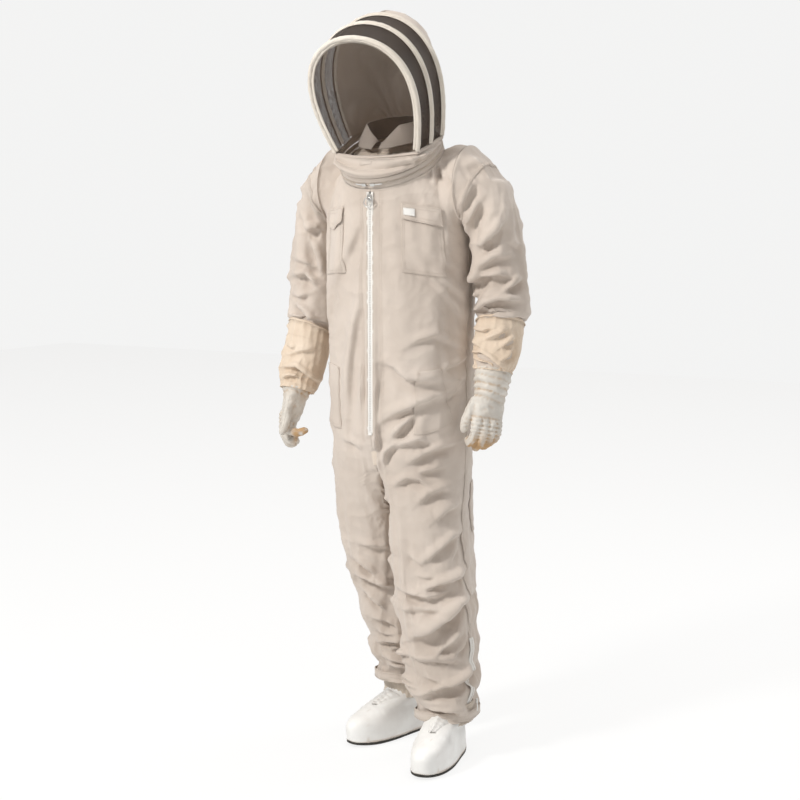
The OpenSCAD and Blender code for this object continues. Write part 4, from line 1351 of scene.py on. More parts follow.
def draped_tube(name, rings, side, spare, guides, behind, hold_last, frames, finer_by=2, seed_size=0.004):
    """A tube of cloth held at both ends, with spare length that gathers into folds."""
    sign = SIDES[side]
    rows, cols = rings.shape[:2]
    grid = rings * [sign, 1, 1]
    p = grid.reshape(-1, 3)
    faces = grid_faces(rows, cols, loop=True)
    normal = grid_normals(grid, loop=True).reshape(-1, 3)
    middles = np.repeat(grid.mean(axis=1), cols, axis=0)
    if np.sum(normal * (p - middles)) < 0:
        normal = -normal
        faces = [f[::-1] for f in faces]
    hold = np.zeros((rows, cols))
    hold[0] = 1
    hold[rows - hold_last:] = 1
    hold = hold.reshape(-1)
    fold = folds(p, normal, guides) + folds(p, normal, behind, -1)
    fold += seed_size * noise_at(p, 0.07, 2 + sign) * 0.8
    rest = p + normal * (0.8 * fold * (1 - hold))[:, None]
    rest[:, 2] = lengthened(p[:, 2], spare)
    start = p + normal * (0.6 * fold * (1 - hold))[:, None]
    form = arm_form(name + "_form", ARMS[side], sign)
    settled = drape(name, start, faces, rest, np.where(hold > 0, 1, 0.02), [form], frames)
    start = mix(start, settled, DRAPE_SHARE)
    grid = start.reshape(rows, cols, 3)
    normal = turned_away(grid_normals(grid, loop=True), grid, grid.mean(axis=1, keepdims=True))
    big = finer(grid, finer_by, loop=True)
    n = unit(finer(normal, finer_by, loop=True))
    h = np.clip(finer(hold.reshape(rows, cols, 1), finer_by, loop=True)[..., 0], 0, 1)
    out = pressed(big.reshape(-1, 3), n.reshape(-1, 3), h.reshape(-1), guides, behind, 0.95)
    return out.reshape(big.shape), n


def make_arm(side):
    sign = SIDES[side]
    arm = ARMS[side]
    flip_x = np.array([sign, 1, 1])
    rings = even_rows(sleeve_rings(arm), 62, 12, loop=True)
    hidden = (-330, -150) if side == "left" else (150, 330)
    behind = scattered(7 + sign, 12, hidden, (1110, 1430), 0.6, 7, 18, (40, 90))
    name, body = "sleeve_sheet_" + side, "arm_" + side
    grid, normal = draped_tube(name, rings, side, SLEEVE_SPARE, ARM_CREASES[side], behind, 14, 24)
    # The sleeve stays outside the plane of the armhole, so that it clears the body as it swings.
    keep = CHEST + 0.0005 + 0.0022 * np.clip((np.arange(len(grid)) - 2) / 14, 0, 1)[:, None]
    grid[..., 0] = sign * np.maximum(sign * grid[..., 0], keep)
    sheet_piece(name, grid, body, ["sleeve_" + side], loop=True)
    # The armhole seam.
    at = 9
    ring, out = grid[at], normal[at]
    seam = strip("armhole_seam_" + side, ring + out * 0.0002, out, 0.010, SEAM_HIGH, body, loop=True)
    for v in seam.data.vertices:
        v.co.x = sign * max(sign * v.co.x, CHEST + 0.0006)
    axis = unit(grid[at + 3] - grid[at - 3])
    for k in (-0.003, 0.003):
        row = closed(ring + axis * k + out * 0.0016)
        row[:, 0] = sign * np.maximum(sign * row[:, 0], CHEST + 0.0014)
        stitch(row, closed(out), body)
    # The knitted end of the sleeve.
    cols, ribs = 120, 30
    radius = 0.0425 + 0.0007 * np.sin(ribs * 2 * PI * np.arange(cols) / cols)
    rows = []
    for distance in np.linspace(0.165, 0.193, 14):
        middle = past_elbow(arm, distance)
        rows.append((middle + (ring_about(middle, 1.0, arm["along"], cols) - middle) * radius[:, None]) * flip_x)
    sheet_piece("wrist_cuff_sheet_" + side, np.array(rows), body, ["wrist_cuff_" + side], "elastic", loop=True)
    make_gauntlet(side, arm, sign)
    make_hand(side, arm, sign)


def make_gauntlet(side, arm, sign):
    cols, rows = 72, 30
    rings = [ring_about(past_elbow(arm, d), r, arm["along"], cols) for d, r in arm["gauntlet"]]
    rings = even_rows(rings, rows, 12, loop=True)
    a = 2 * PI * np.arange(cols) / cols
    down = np.linspace(0, 1, rows)[:, None]
    along = unit(arm["along"])
    # The hem arches up a little towards the front and is gathered on elastic at the wrist.
    rise = np.linspace(1, 0, rows)[:, None] * (0.009 * np.cos(a - 0.8) + 0.0008 * np.sin(7 * a))[None]
    rings = rings - along * rise[..., None]
    middles = rings.mean(axis=1, keepdims=True)
    gather = down ** 4 * (0.035 * np.sin(17 * a + np.sin(3 * a)))[None]
    gather += np.exp(-((down - 0.03) / 0.05) ** 2) * (0.008 * np.sin(19 * a + 2 * np.sin(2 * a)))[None]
    rings = middles + (rings - middles) * (1 + gather)[..., None]
    hidden = (-320, -160) if side == "left" else (160, 320)
    behind = scattered(17 + sign, 6, hidden, (930, 1080), 0.5, 5, 12, (40, 80))
    name, body = "gauntlet_sheet_" + side, "hand_" + side
    grid, normal = draped_tube(name, rings, side, GAUNTLET_SPARE, GAUNTLET_CREASES[side], behind, 1, 16, 3, 0.006)
    sheet_piece(name, grid, body, ["gauntlet_" + side], "canvas", loop=True, thick=0.0018)
    for r in (4, 20) if side == "right" else (5,):
        n = closed(normal[r])
        stitch(closed(grid[r]) + n * 0.0008, n, body, pitch=0.005)
    strip("gauntlet_hem_" + side, grid[0] + normal[0] * 0.0004, normal[0], 0.006, 0.0016, body, "canvas", loop=True)


def hand_frame(arm, turn):
    """Columns: out of the back of the hand, towards the thumb and down the arm."""
    d = unit(arm["along"])
    back = unit(np.array([1.0, 0, 0]) - d[0] * d)
    thumb = unit(np.cross(back, d))
    if thumb[1] > 0:
        thumb = -thumb
    c, s = math.cos(math.radians(turn)), math.sin(math.radians(turn))
    return np.stack([c * back + s * thumb, -s * back + c * thumb, d], axis=1)


def add_bone(points, faces, line, radii):
    """Adds a closed rounded tube through a line of middles."""
    sides = 14
    dense = along_line(line, 4 * len(line))
    steps = np.linspace(0, len(radii) - 1, len(dense))
    thick = np.interp(steps, np.arange(len(radii)), radii)
    along = unit(np.gradient(dense, axis=0))
    first, last = dense[0] - along[0] * thick[0] * 0.8, dense[-1] + along[-1] * thick[-1] * 0.8
    dense = np.concatenate([[first], dense, [last]])
    thick = np.concatenate([[thick[0] * 0.45], thick, [thick[-1] * 0.5]])
    along = unit(np.gradient(dense, axis=0))
    start = len(points)
    for p, r, n in zip(dense, thick, along):
        side = unit(np.cross(n, [0.31, 0.12, 0.94]))
        other = np.cross(n, side)
        for k in range(sides):
            a = 2 * PI * k / sides
            points.append(p + r * (math.cos(a) * side + math.sin(a) * other))
    faces += capped_tube(len(dense), sides, start)


# Each finger of a hand, as a line of middles in the hand's own axes and its radii there, in millimetres.
FINGERS = {
    "left": [
        ([(8, 30, 66), (9, 32, 92), (2, 32, 114), (-18, 30, 126), (-34, 26, 112)], [15, 13.5, 12.5, 11.5, 9.5]),
        ([(10, 10, 68), (12, 11, 97), (4, 11, 121), (-17, 10, 133), (-36, 9, 118)], [15, 14, 13, 12, 10]),
        ([(9, -10, 66), (11, -11, 94), (3, -11, 118), (-18, -10, 129), (-35, -8, 114)], [15, 13.5, 12.5, 11.5, 9.5]),
        ([(5, -28, 60), (6, -31, 86), (-1, -31, 106), (-18, -29, 116), (-31, -26, 104)], [14, 12.5, 11.5, 10.5, 9]),
        ([(-6, 28, 14), (-10, 42, 40), (-10, 52, 68), (-8, 55, 94)], [19, 16.5, 14, 11.5]),
    ],
    "right": [
        ([(6, 26, 66), (0, 26, 92), (-20, 24, 108), (-44, 20, 110), (-60, 16, 100)], [15, 13.5, 12.5, 11.5, 9.5]),
        ([(9, 8, 68), (9, 8, 100), (0, 7, 124), (-18, 6, 134), (-32, 5, 124)], [15, 13.5, 12.5, 11.5, 10]),
        ([(10, -12, 66), (12, -13, 98), (7, -14, 124), (-6, -14, 140), (-22, -13, 138)], [15, 13.5, 12.5, 11.5, 9.5]),
        ([(6, -30, 60), (10, -34, 88), (8, -36, 112), (-2, -36, 127), (-16, -34, 127)], [14, 12.5, 11.5, 10.5, 9]),
        ([(-4, 28, 14), (-8, 40, 38), (-12, 45, 68), (-13, 45, 98), (-10, 44, 118)], [19, 16, 13.5, 12.5, 10.5]),
    ],
}
PALM = 0.228                # from the elbow to the heel of the hand
WRIST = {"left": 0.160, "right": 0.218}
HAND_TURN = {"left": 35, "right": 5}
FINGER_SLIM = {"left": 0.87, "right": 0.96}


def hand_mould(side, axes, origin, sign):
    """The points and faces of one smooth skin round the wrist, the palm and the fingers."""
    start_up = WRIST[side] - PALM
    points, faces = [], []
    # Place, half depth and half width of the oval sections of the wrist and the palm.
    sections = [
        (start_up, 0.0455, 0.0455), (start_up * 0.55, 0.0445, 0.0450), (-0.004, 0.0370, 0.0410),
        (0.012, 0.0300, 0.0395), (0.034, 0.0235, 0.0430), (0.056, 0.0195, 0.0440), (0.070, 0.0150, 0.0410),
        (0.080, 0.0090, 0.0340),
    ]
    sides = 40
    for z, deep, wide in sections:
        for k in range(sides):
            a = 2 * PI * k / sides
            points.append(np.array([deep * math.cos(a), wide * math.sin(a), z]))
    faces += capped_tube(len(sections), sides)
    for line, radii in FINGERS[side]:
        add_bone(points, faces, np.array(line) / 1000, FINGER_SLIM[side] * np.array(radii) / 1000)
    world = (origin + np.array(points) @ axes.T) * [sign, 1, 1]
    obj = make_object("hand_mould_" + side, world, faces)
    mesh_tool = obj.modifiers.new("join", "REMESH")
    mesh_tool.mode = "VOXEL"
    mesh_tool.voxel_size = 0.0024
    relax = obj.modifiers.new("relax", "SMOOTH")
    relax.factor = 0.6
    relax.iterations = 5
    shaped = obj.evaluated_get(bpy.context.evaluated_depsgraph_get()).data
    p = np.zeros(len(shaped.vertices) * 3, np.float32)
    shaped.vertices.foreach_get("co", p)
    p = p.reshape(-1, 3).astype(float) - SHIFT
    quads = [tuple(f.vertices) for f in shaped.polygons]
    bpy.data.objects.remove(obj)
    return p, quads


def glove_stain_and_shade(side, p, n, quads, inside):
    """How dark each point of a glove is painted: brown at the finger tips and on the palm side, which is partly stain
    and partly painted shade on the curled fingers, and painted shade between the fingers and in the creases.
    """
    depth = inside[:, 2]
    # Brown at the finger tips and the palm side: partly stain, partly painted shade on the curled fingers.
    if side == "left":
        stain_and_shade = np.clip((depth - 0.088) / 0.035, 0, 1) * np.clip(0.75 + 1.6 * noise_at(p, 0.018, 34), 0, 1)
        stain_and_shade *= np.clip(0.95 - np.clip(inside[:, 0] - 0.008, 0, 1) * 25, 0.15, 1)
    else:
        stain_and_shade = np.clip((-inside[:, 0] - 0.022) / 0.02, 0, 1) * np.clip(0.8 + 1.4 * noise_at(p, 0.015, 35), 0, 1)
    stain_and_shade[inside[:, 1] > 0.036] *= 0.1
    # Where the skin lies below its own smoothed shape, it is hollow, and it is darkened there as painted shade.
    soft = p.copy()
    pairs = np.array([(f[i - 1], f[i]) for f in quads for i in range(len(f))])
    count = np.bincount(pairs[:, 0], minlength=len(p)) + np.bincount(pairs[:, 1], minlength=len(p))
    for _ in range(6):
        total = np.zeros(p.shape)
        np.add.at(total, pairs[:, 0], soft[pairs[:, 1]])
        np.add.at(total, pairs[:, 1], soft[pairs[:, 0]])
        soft = total / count[:, None]
    hollow = np.sum((soft - p) * n, axis=1)
    stain_and_shade += 0.55 * np.clip(hollow / 0.0012 - 0.1, 0, 1)
    return np.clip(stain_and_shade + 0.10 * np.clip(noise_at(p, 0.03, 36) * 2, 0, 1), 0, 0.9)


def make_hand(side, arm, sign):
    body = "hand_" + side
    axes = hand_frame(arm, HAND_TURN[side])
    origin = past_elbow(arm, PALM)
    p, quads = hand_mould(side, axes, origin, sign)
    n = outward(p, quads)
    inside = ((p * [sign, 1, 1]) - origin) @ axes
    depth = inside[:, 2]
    # Leather wrinkles: rings round the wrist, creases over the knuckles and a loose crumple everywhere.
    wander = 0.006 * noise_at(p, 0.05, 31)
    wrist = np.exp(-((depth + 0.02) / 0.035) ** 2)
    knuckle = np.exp(-((depth - 0.085) / 0.03) ** 2) * (inside[:, 0] > 0)
    push = 0.0020 * wrist * np.sin(2 * PI * (depth + wander + 0.15 * inside[:, 1]) / 0.017)
    push += 0.0011 * knuckle * np.sin(2 * PI * (depth + wander) / 0.010)
    push += 0.0018 * (0.5 - 2 * np.abs(noise_at(p, 0.028, 32)))
    push += 0.0010 * (0.5 - 2 * np.abs(noise_at(p, 0.013, 33)))
    p = p + n * push[:, None]
    hand = make_object("glove_shell_" + side, p, quads)
    # The gloves' brown marks are partly stain and partly painted shade in the hollows between the fingers and in the
    # creases.
    add_wear_and_shade(hand, glove_stain_and_shade(side, p, n, quads, inside))
    hand.data.materials.append(MATERIALS["goat"])
    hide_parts("glove_" + side)
    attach(hand, body)
    # Stitching on both sides of each finger.
    tree = BVHTree.FromPolygons([tuple(v) for v in p], quads)
    for line, _ in FINGERS[side]:
        middles = (origin + along_line(np.array(line) / 1000, 24)[2:-2] @ axes.T) * [sign, 1, 1]
        for lateral in (-0.94, 0.94):
            way = Vector((axes @ np.array([0.35, lateral, 0])) * [sign, 1, 1])
            row, normals = [], []
            for middle in middles:
                place, normal, _, _ = tree.ray_cast(Vector(middle) + 0.05 * way, -way)
                if place is not None and (place - Vector(middle)).length <= 0.02:
                    row.append(np.array(place))
                    normals.append(np.array(normal))
            if len(row) > 6:
                stitch(np.array(row), np.array(normals), body, 0.0003, 0.0036, 0.0024, 0.0006)


# ---------------------------------------------------------------- boots

# Height, toe, heel and half width of each level of a boot, before it is turned and set in its place.
BOOT = [
    (0.007, -0.2155, 0.0765, 0.0535), (0.020, -0.2180, 0.0775, 0.0535), (0.034, -0.2210, 0.0780, 0.0530),
    (0.050, -0.2200, 0.0775, 0.0525), (0.064, -0.2080, 0.0760, 0.0510), (0.080, -0.1720, 0.0730, 0.0480),
    (0.096, -0.1240, 0.0700, 0.0450), (0.106, -0.0860, 0.0660, 0.0440), (0.122, -0.0620, 0.0620, 0.0430),
    (0.150, -0.0560, 0.0580, 0.0430), (0.205, -0.0540, 0.0560, 0.0430),
]
# The same for the sole, with how far each level is grown.
SOLE = [
    ((0.0, -0.212, 0.073, 0.050), -0.004), ((0.0008, -0.214, 0.075, 0.052), -0.001),
    ((0.003, -0.2165, 0.0775, 0.0535), 0.001), ((0.006, -0.2165, 0.0775, 0.0535), 0.0014),
    ((0.0082, -0.2165, 0.0775, 0.0535), 0.0006), ((0.0088, -0.2150, 0.0760, 0.0530), -0.006),
]
BOOT_PLACE = {"left": ((0.162, -0.038), math.radians(11)), "right": ((-0.025, 0.088), math.radians(-14))}


def boot_ring(level, sides=96, grow=0.0):
    z, toe, heel, wide = level
    a = 2 * PI * np.arange(sides) / sides
    middle, half = (toe + heel) / 2, (heel - toe) / 2 + grow
    y = middle + half * np.sin(a)
    waist = 1 - 0.1 * np.exp(-((y + 0.04) / 0.06) ** 2) * (1 if z < 0.09 else 0)
    x = (wide + grow) * waist * np.sign(np.cos(a)) * np.abs(np.cos(a)) ** 0.86
    lift = 0.006 * np.clip((-y - 0.15) / 0.07, 0, 1) ** 1.5 * (1 if z < 0.05 else 0.5)
    return np.stack([x, y, z + lift], axis=1)


def make_boot(side):
    place, turn = BOOT_PLACE[side]
    c, s = math.cos(turn), math.sin(turn)

    def stand(p):
        x, y, z = np.moveaxis(np.asarray(p, float), -1, 0)
        return np.stack([place[0] + c * x - s * y, place[1] + s * x + c * y, z], axis=-1)

    rings = even_rows([boot_ring(level) for level in BOOT], 56, 12, loop=True)
    flat = rings.reshape(-1, 3)
    n = turned_away(grid_normals(rings, loop=True), rings, rings.mean(axis=1, keepdims=True))
    x, y, z = flat[:, 0], flat[:, 1], flat[:, 2]
    push = 0.0012 * noise_at(flat, 0.05, 41) + 0.0008 * (0.5 - 2 * np.abs(noise_at(flat, 0.03, 42)))
    # Flex creases across the instep, and the welt above the sole.
    flex = np.exp(-((y + 0.135) / 0.03) ** 2) * np.clip((z - 0.05) / 0.03, 0, 1)
    push += 0.0016 * flex * np.sin(2 * PI * (y + 0.1 * np.abs(x)) / 0.016)
    push += 0.0014 * np.exp(-((z - 0.0150) / 0.0022) ** 2)
    # The toe cap, the heel strip and the quarter meet on raised seams.
    seam = np.abs(y + 0.150 + 1.2 * np.abs(x) - 0.012 * np.sin(12 * x))
    push += 0.0010 * np.exp(-(seam / 0.0022) ** 2) * (z < 0.085)
    push += 0.0012 * np.exp(-((np.abs(x) - 0.013) / 0.0018) ** 2) * (y > 0.03)
    shell = stand(rings + n * push.reshape(*rings.shape[:2], 1))
    obj = sheet_piece("boot_shell_" + side, shell, "suit", ["boot_upper_" + side], "boot", loop=True, thick=0.0022)
    wear_and_shade = np.clip((0.018 - z) / 0.012 + noise_at(flat, 0.03, 43) * 0.6, 0, 0.7) * 0.5
    wear_and_shade += 0.35 * np.exp(-(seam / 0.0012) ** 2) * (z < 0.085) + 0.4 * np.exp(-((z - 0.0118) / 0.0012) ** 2)
    wear_and_shade += 0.3 * np.exp(-((np.abs(x) - 0.0155) / 0.001) ** 2) * (y > 0.03)
    add_wear_and_shade(obj, np.clip(wear_and_shade, 0, 1))
    # The sole: a thin dark slab with a bevelled edge and a slightly raised toe.
    sole = np.array([boot_ring(level, grow=grow) for level, grow in SOLE])
    flat_part = sole[0][:, 1] > -0.15
    sole[0][flat_part, 2] = 0.0
    middle_line = sole[0] * [0.02, 0.9, 1]
    grid = stand(np.concatenate([[middle_line], sole]))
    sheet_piece("sole_shell_" + side, grid, "suit", ["boot_sole_" + side], "rubber", loop=True, thick=0)
    welt = stand(boot_ring((0.0100, -0.2165, 0.0775, 0.0530), 160, 0.0012))
    out = unit((welt - welt.mean(axis=0)) * [1, 1, 0])
    stitch(closed(welt), closed(out), "suit", 0.0006, 0.005, 0.0034, 0.0007)
    # The gathered tongue over the instep, narrow towards the toe and wider above.
    rows = []
    for t in np.linspace(0, 1, 22):
        y0, z0 = mix(-0.136, -0.072, t), mix(0.0935, 0.1160, t ** 1.2)
        wide = mix(0.012, 0.034, t)
        row = []
        for u in np.linspace(-1, 1, 25):
            bump = 0.0022 * math.cos(u * 9.0) * (1 - abs(u)) + 0.001 * math.sin(30 * t + 3 * u)
            row.append((wide * u, y0 + 0.010 * u * u, z0 + 0.0045 * (1 - u * u) + bump - 0.013 * t * u * u))
        rows.append(row)
    tongue = sheet_piece(
        "tongue_" + side, stand(rows), "suit", ["boot_tongue_" + side], "boot", facing=stand([0, -0.08, 0])
    )
    add_wear_and_shade(tongue, np.full(22 * 25, 0.04))


# ---------------------------------------------------------------- neck, collar and neck zip

BLOCK_FACES = ((0, 3, 2, 1), (4, 5, 6, 7), (0, 1, 5, 4), (1, 2, 6, 5), (2, 3, 7, 6), (3, 0, 4, 7))

NECK_BAND = 0.014
NECK_ZIP = NECKLINE + NECK_BAND * NECK_NORMAL
COLLAR_BASE = np.array([0, -0.022, 1.548])
COLLAR_H = 0.046
COLLAR_LEAN = math.atan(0.25)


def neck_ring(a, up, radius):
    """Points round the neck zip's axis, at a height above the zip."""
    x, y, z = NECK_ZIP + up * NECK_NORMAL
    ahead = radius * np.cos(a)
    return np.stack([
        x + radius * np.sin(a), y - ahead * math.cos(NECK_TILT), z - ahead * math.sin(NECK_TILT)
    ], axis=-1)


# The neck zip's two tapes: the body each is sewn to, its edges' heights and where its rows of stitches run.
NECK_TAPES = {
    "lower": ("suit", -0.0135, -0.0018, (0.25, 0.8)),
    "upper": ("hood", 0.0018, 0.0135, (0.2, 0.75)),
}
NECK_TEETH = 250
NECK_COLUMNS = 240


def make_neck_zip():
    a = np.linspace(0, 2 * PI, NECK_COLUMNS + 1)
    out = unit(neck_ring(a, 0, NECK_R) - NECK_ZIP)
    for name, (body, low, high, rows) in NECK_TAPES.items():
        wave = 0.0006 * np.sin(23 * a[:-1]) + 0.0005 * np.sin(41 * a[:-1] + 1)
        grid = np.array([
            neck_ring(a[:-1], mix(low, high, t), NECK_R - 0.0004 + wave * abs(t - 0.5)) for t in np.linspace(0, 1, 7)
        ])
        tape = [f"neck_zip_{name}_tape"]
        sheet_piece("neck_tape_" + name, grid, body, tape, "band", loop=True, thick=0.0008)
        for at in rows:
            stitch(neck_ring(a, mix(low, high, at), NECK_R), out, body, lift=0.0004)
    points, faces = [], []
    for k in range(NECK_TEETH):
        at = 2 * PI * k / NECK_TEETH
        centre = neck_ring(at, 0, NECK_R)
        n = unit(centre - NECK_ZIP)
        along = np.array([math.cos(at), math.sin(at) * math.cos(NECK_TILT), math.sin(at) * math.sin(NECK_TILT)])
        shift = 0.0005 * (1 if k % 2 else -1)
        start = len(points)
        # Each tooth is a block that narrows a little towards its outer face.
        for lift, long, high in ((-0.0006, 0.0010, 0.0019), (0.0011, 0.0008, 0.001615)):
            for u, v in ((-1, -1), (1, -1), (1, 1), (-1, 1)):
                points.append(centre + n * lift + along * u * long + NECK_NORMAL * (v * high + shift))
        faces += [tuple(start + i for i in f) for f in BLOCK_FACES]
    teeth = make_object("neck_teeth", points, faces, smooth=False)
    teeth.data.materials.append(MATERIALS["cream_acetal"])
    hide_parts("neck_zip_teeth")
    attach(teeth, "suit")
    refinish(["neck_zip_slider_left", "neck_zip_slider_right"], "plated")


def make_neck_facing():
    """The facing inside the hood, from the neckline up to the collar."""
    a = np.linspace(0, 2 * PI, NECK_COLUMNS + 1)[:-1]
    rows = []
    for t in np.linspace(0, 1, 30):
        ahead = 0.126 * np.cos(a)
        low = np.stack([
            0.126 * np.sin(a), -0.036 - ahead * math.cos(NECK_TILT), 1.502 - ahead * math.sin(NECK_TILT)
        ], axis=1)
        high = COLLAR_BASE + 0.067 * np.stack([np.sin(a), -np.cos(a), -0.25 * np.cos(a)], axis=1)
        fold = 0.0035 * np.sin(9 * a + 4 * t) * math.sin(PI * t) + 0.002 * np.sin(21 * a - 3 * t) * math.sin(PI * t)
        rows.append(mix(low, high, t) + np.stack([0 * a, 0 * a, 0.010 * math.sin(PI * t) + fold], axis=1))
    facing = (0, -0.03, 1.2)
    sheet_piece("neck_facing_sheet", np.array(rows), "suit", ["neck_facing"], "inside", loop=True, facing=facing)


def at_collar(out, turn, up):
    """Points round the collar's own leaning axis."""
    c, s = math.cos(COLLAR_LEAN), math.sin(COLLAR_LEAN)
    x, y, z = COLLAR_BASE + [0, 0, 0.002]
    ahead = out * np.sin(turn)
    return np.stack([x + out * np.cos(turn), y + c * ahead - s * up, z + s * ahead + c * up], axis=-1)


def ridge(turn):
    """The height of the collar's fold, which drops to a V at the throat."""
    from_throat = np.abs((turn + PI / 2 + PI) % (2 * PI) - PI)
    return 0.004 + COLLAR_H * np.clip(from_throat / 0.75, 0, 1) ** 0.8


def make_collar():
    """The collar's stand and its two turned-down leaves."""
    turn = np.radians(np.linspace(-88, 268, 130))
    rows = []
    for t in np.linspace(0, 1, 8):
        rows.append(at_collar(0.0655 + 0.0006 * np.sin(6 * turn), turn, 0.002 + (ridge(turn) - 0.002) * t))
    # The stand is near black: painted shade for the dark hollow inside the neck, which shows through the V between the
    # leaves.
    stand = ["collar_stand"]
    sheet_piece("collar_stand_sheet", np.array(rows), "suit", stand, "painted_shade_lining", facing=COLLAR_BASE, thick=0.0018)
    for side, first in (("left", -84), ("right", 92)):
        turn = np.radians(np.linspace(first, first + 172, 80))
        front = np.abs(np.linspace(0, 1, 80) - (0 if side == "left" else 1))
        point = np.exp(-(front / 0.20) ** 2)
        rows = []
        for t in np.linspace(0, 1, 16):
            out = mix(0.0674, 0.0925, t ** 1.3) + point * 0.012 * t + 0.0015 * np.sin(8 * turn) * t
            low = mix(ridge(turn) + 0.001, 0.0075, t) + 0.005 * math.sin(PI * t) - point * 0.004 * t
            rows.append(at_collar(out, turn, low))
        leaf, below = ["collar_leaf_" + side], COLLAR_BASE - [0, 0, 0.05]
        sewn_patch("collar_" + side, np.array(rows), "suit", leaf, below, (0.003,), "tlr", 0.0018)


# ---------------------------------------------------------------- hood

# Foot and top of each arch of the hood, its half width at the foot and its bulge.
ARCHES = [
    ((-0.112, 1.508), (-0.243, 1.786), 0.112, 0.056), ((-0.064, 1.528), (-0.178, 1.826), 0.122, 0.050),
    ((-0.018, 1.548), (-0.112, 1.852), 0.128, 0.046), ((0.012, 1.562), (-0.064, 1.866), 0.116, 0.032),
    ((0.036, 1.574), (-0.012, 1.846), 0.104, 0.026), ((0.054, 1.582), (0.030, 1.786), 0.092, 0.022),
    ((0.066, 1.586), (0.060, 1.702), 0.080, 0.017), ((0.076, 1.589), (0.078, 1.630), 0.066, 0.012),
    ((0.083, 1.591), (0.086, 1.600), 0.048, 0.006),
]
NAPE = ((0.085, 1.5895), (0.0885, 1.5905), 0.046, 0.004)


def arch_row(arch, turns):
    foot, top = np.array(arch[0]), np.array(arch[1])
    rise = np.sin(turns)
    up = top - foot
    side = arch[2] * np.cos(turns) + arch[3] * np.sin(2 * turns)
    return np.stack([side, foot[0] + up[0] * rise, foot[1] + up[1] * rise], axis=-1)


def between(a, b, t):
    return tuple(mix(np.array(p), np.array(q), t) for p, q in zip(a, b))


def hood_grid(arches, cols, rows):
    turns = np.radians(np.linspace(178, 2, cols))
    return even_rows([arch_row(arch, turns) for arch in arches], rows, 8)


HEAD = np.array([0, -0.07, 1.62])       # the middle of the hood, which its faces turn away from


def make_hood():
    cols, count = 120, 84
    grid = hood_grid([between(ARCHES[2], ARCHES[3], 0.12), *ARCHES[3:], NAPE], cols, count)
    n = turned_away(grid_normals(grid), grid, HEAD)
    flat = grid.reshape(-1, 3)
    t = np.repeat(np.linspace(0, 1, count), cols)
    u = np.tile(np.linspace(-1, 1, cols), count)
    edge = np.clip(t / 0.08, 0, 1) * np.clip((1 - np.abs(u)) / 0.06, 0, 1) * np.clip((1 - t) / 0.06, 0, 1)
    push = 0.0055 * np.sin(9.0 * np.abs(u) ** 1.4 * PI + 2.0 * t) * t * (1 - 0.4 * t)
    push += 0.008 * noise_at(flat, 0.085, 51) + 0.0035 * (0.5 - 2 * np.abs(noise_at(flat, 0.04, 52)))
    push = np.minimum(push, 0.004) * edge
    grid = (flat + n.reshape(-1, 3) * push[:, None]).reshape(grid.shape)
    sheet_piece("hood_back_sheet", grid, "hood", ["hood_back"], facing=HEAD)
    # The seam down the middle of the crown.
    line, normal = grid[2:-2, cols // 2], n[2:-2, cols // 2]
    strip("hood_seam", line + normal * 0.0003, normal, 0.010, SEAM_HIGH, "hood")
    for k in (-0.0032, 0.0032):
        stitch(line + normal * 0.0016 + [k, 0, 0], normal, "hood")
    make_netting()
    for arch, name in zip(ARCHES, ("front", "middle", "rear")):
        make_hoop(arch, name)
    make_bib()


def make_netting():
    """Netting between the hoops and across the face."""
    for i, name in enumerate(("middle", "rear")):
        grid = hood_grid([between(ARCHES[i], ARCHES[i + 1], t) for t in (0.05, 0.5, 0.95)], 100, 12)
        grid -= turned_away(grid_normals(grid), grid, HEAD) * np.sin(PI * np.linspace(0, 1, 12))[:, None, None] * 0.0025
        sheet_piece("netting_" + name, grid, "hood", ["veil_" + name], "dense_net", thick=0, facing=HEAD)
    foot, top, wide, bulge = (np.array(v) for v in ARCHES[0])
    lean = unit(top - foot)
    within, rows = 0.0065, []
    for a in np.radians(np.linspace(3, 85, 56)):
        w = (wide - within) * math.cos(a) + bulge * math.sin(2 * a) - 0.001
        q = foot + (np.linalg.norm(top - foot) - within) * math.sin(a) * lean
        u = np.linspace(-1, 1, 60)
        bow = 0.022 * math.sin(2 * a) * (1 - u * u)
        rows.append(np.stack([u * w, q[0] - bow * lean[1], q[1] + bow * lean[0]], axis=1))
    sheet_piece("netting_front", np.array(rows), "hood", ["veil_front"], "net", thick=0, facing=HEAD)


# How far the two sewn edges of each hoop's sleeve reach from the hoop, and how high they lie.
FRONT_EDGES = {-1: ((0.004, 0.0010), (0.008, 0.0009), (0.012, 0.0008)),
               1: ((0.004, 0.0015), (0.0085, 0.0012), (0.0125, 0.0008))}
HOOP_EDGES = ((0.004, 0.0012), (0.007, 0.0010), (0.0105, 0.0009))


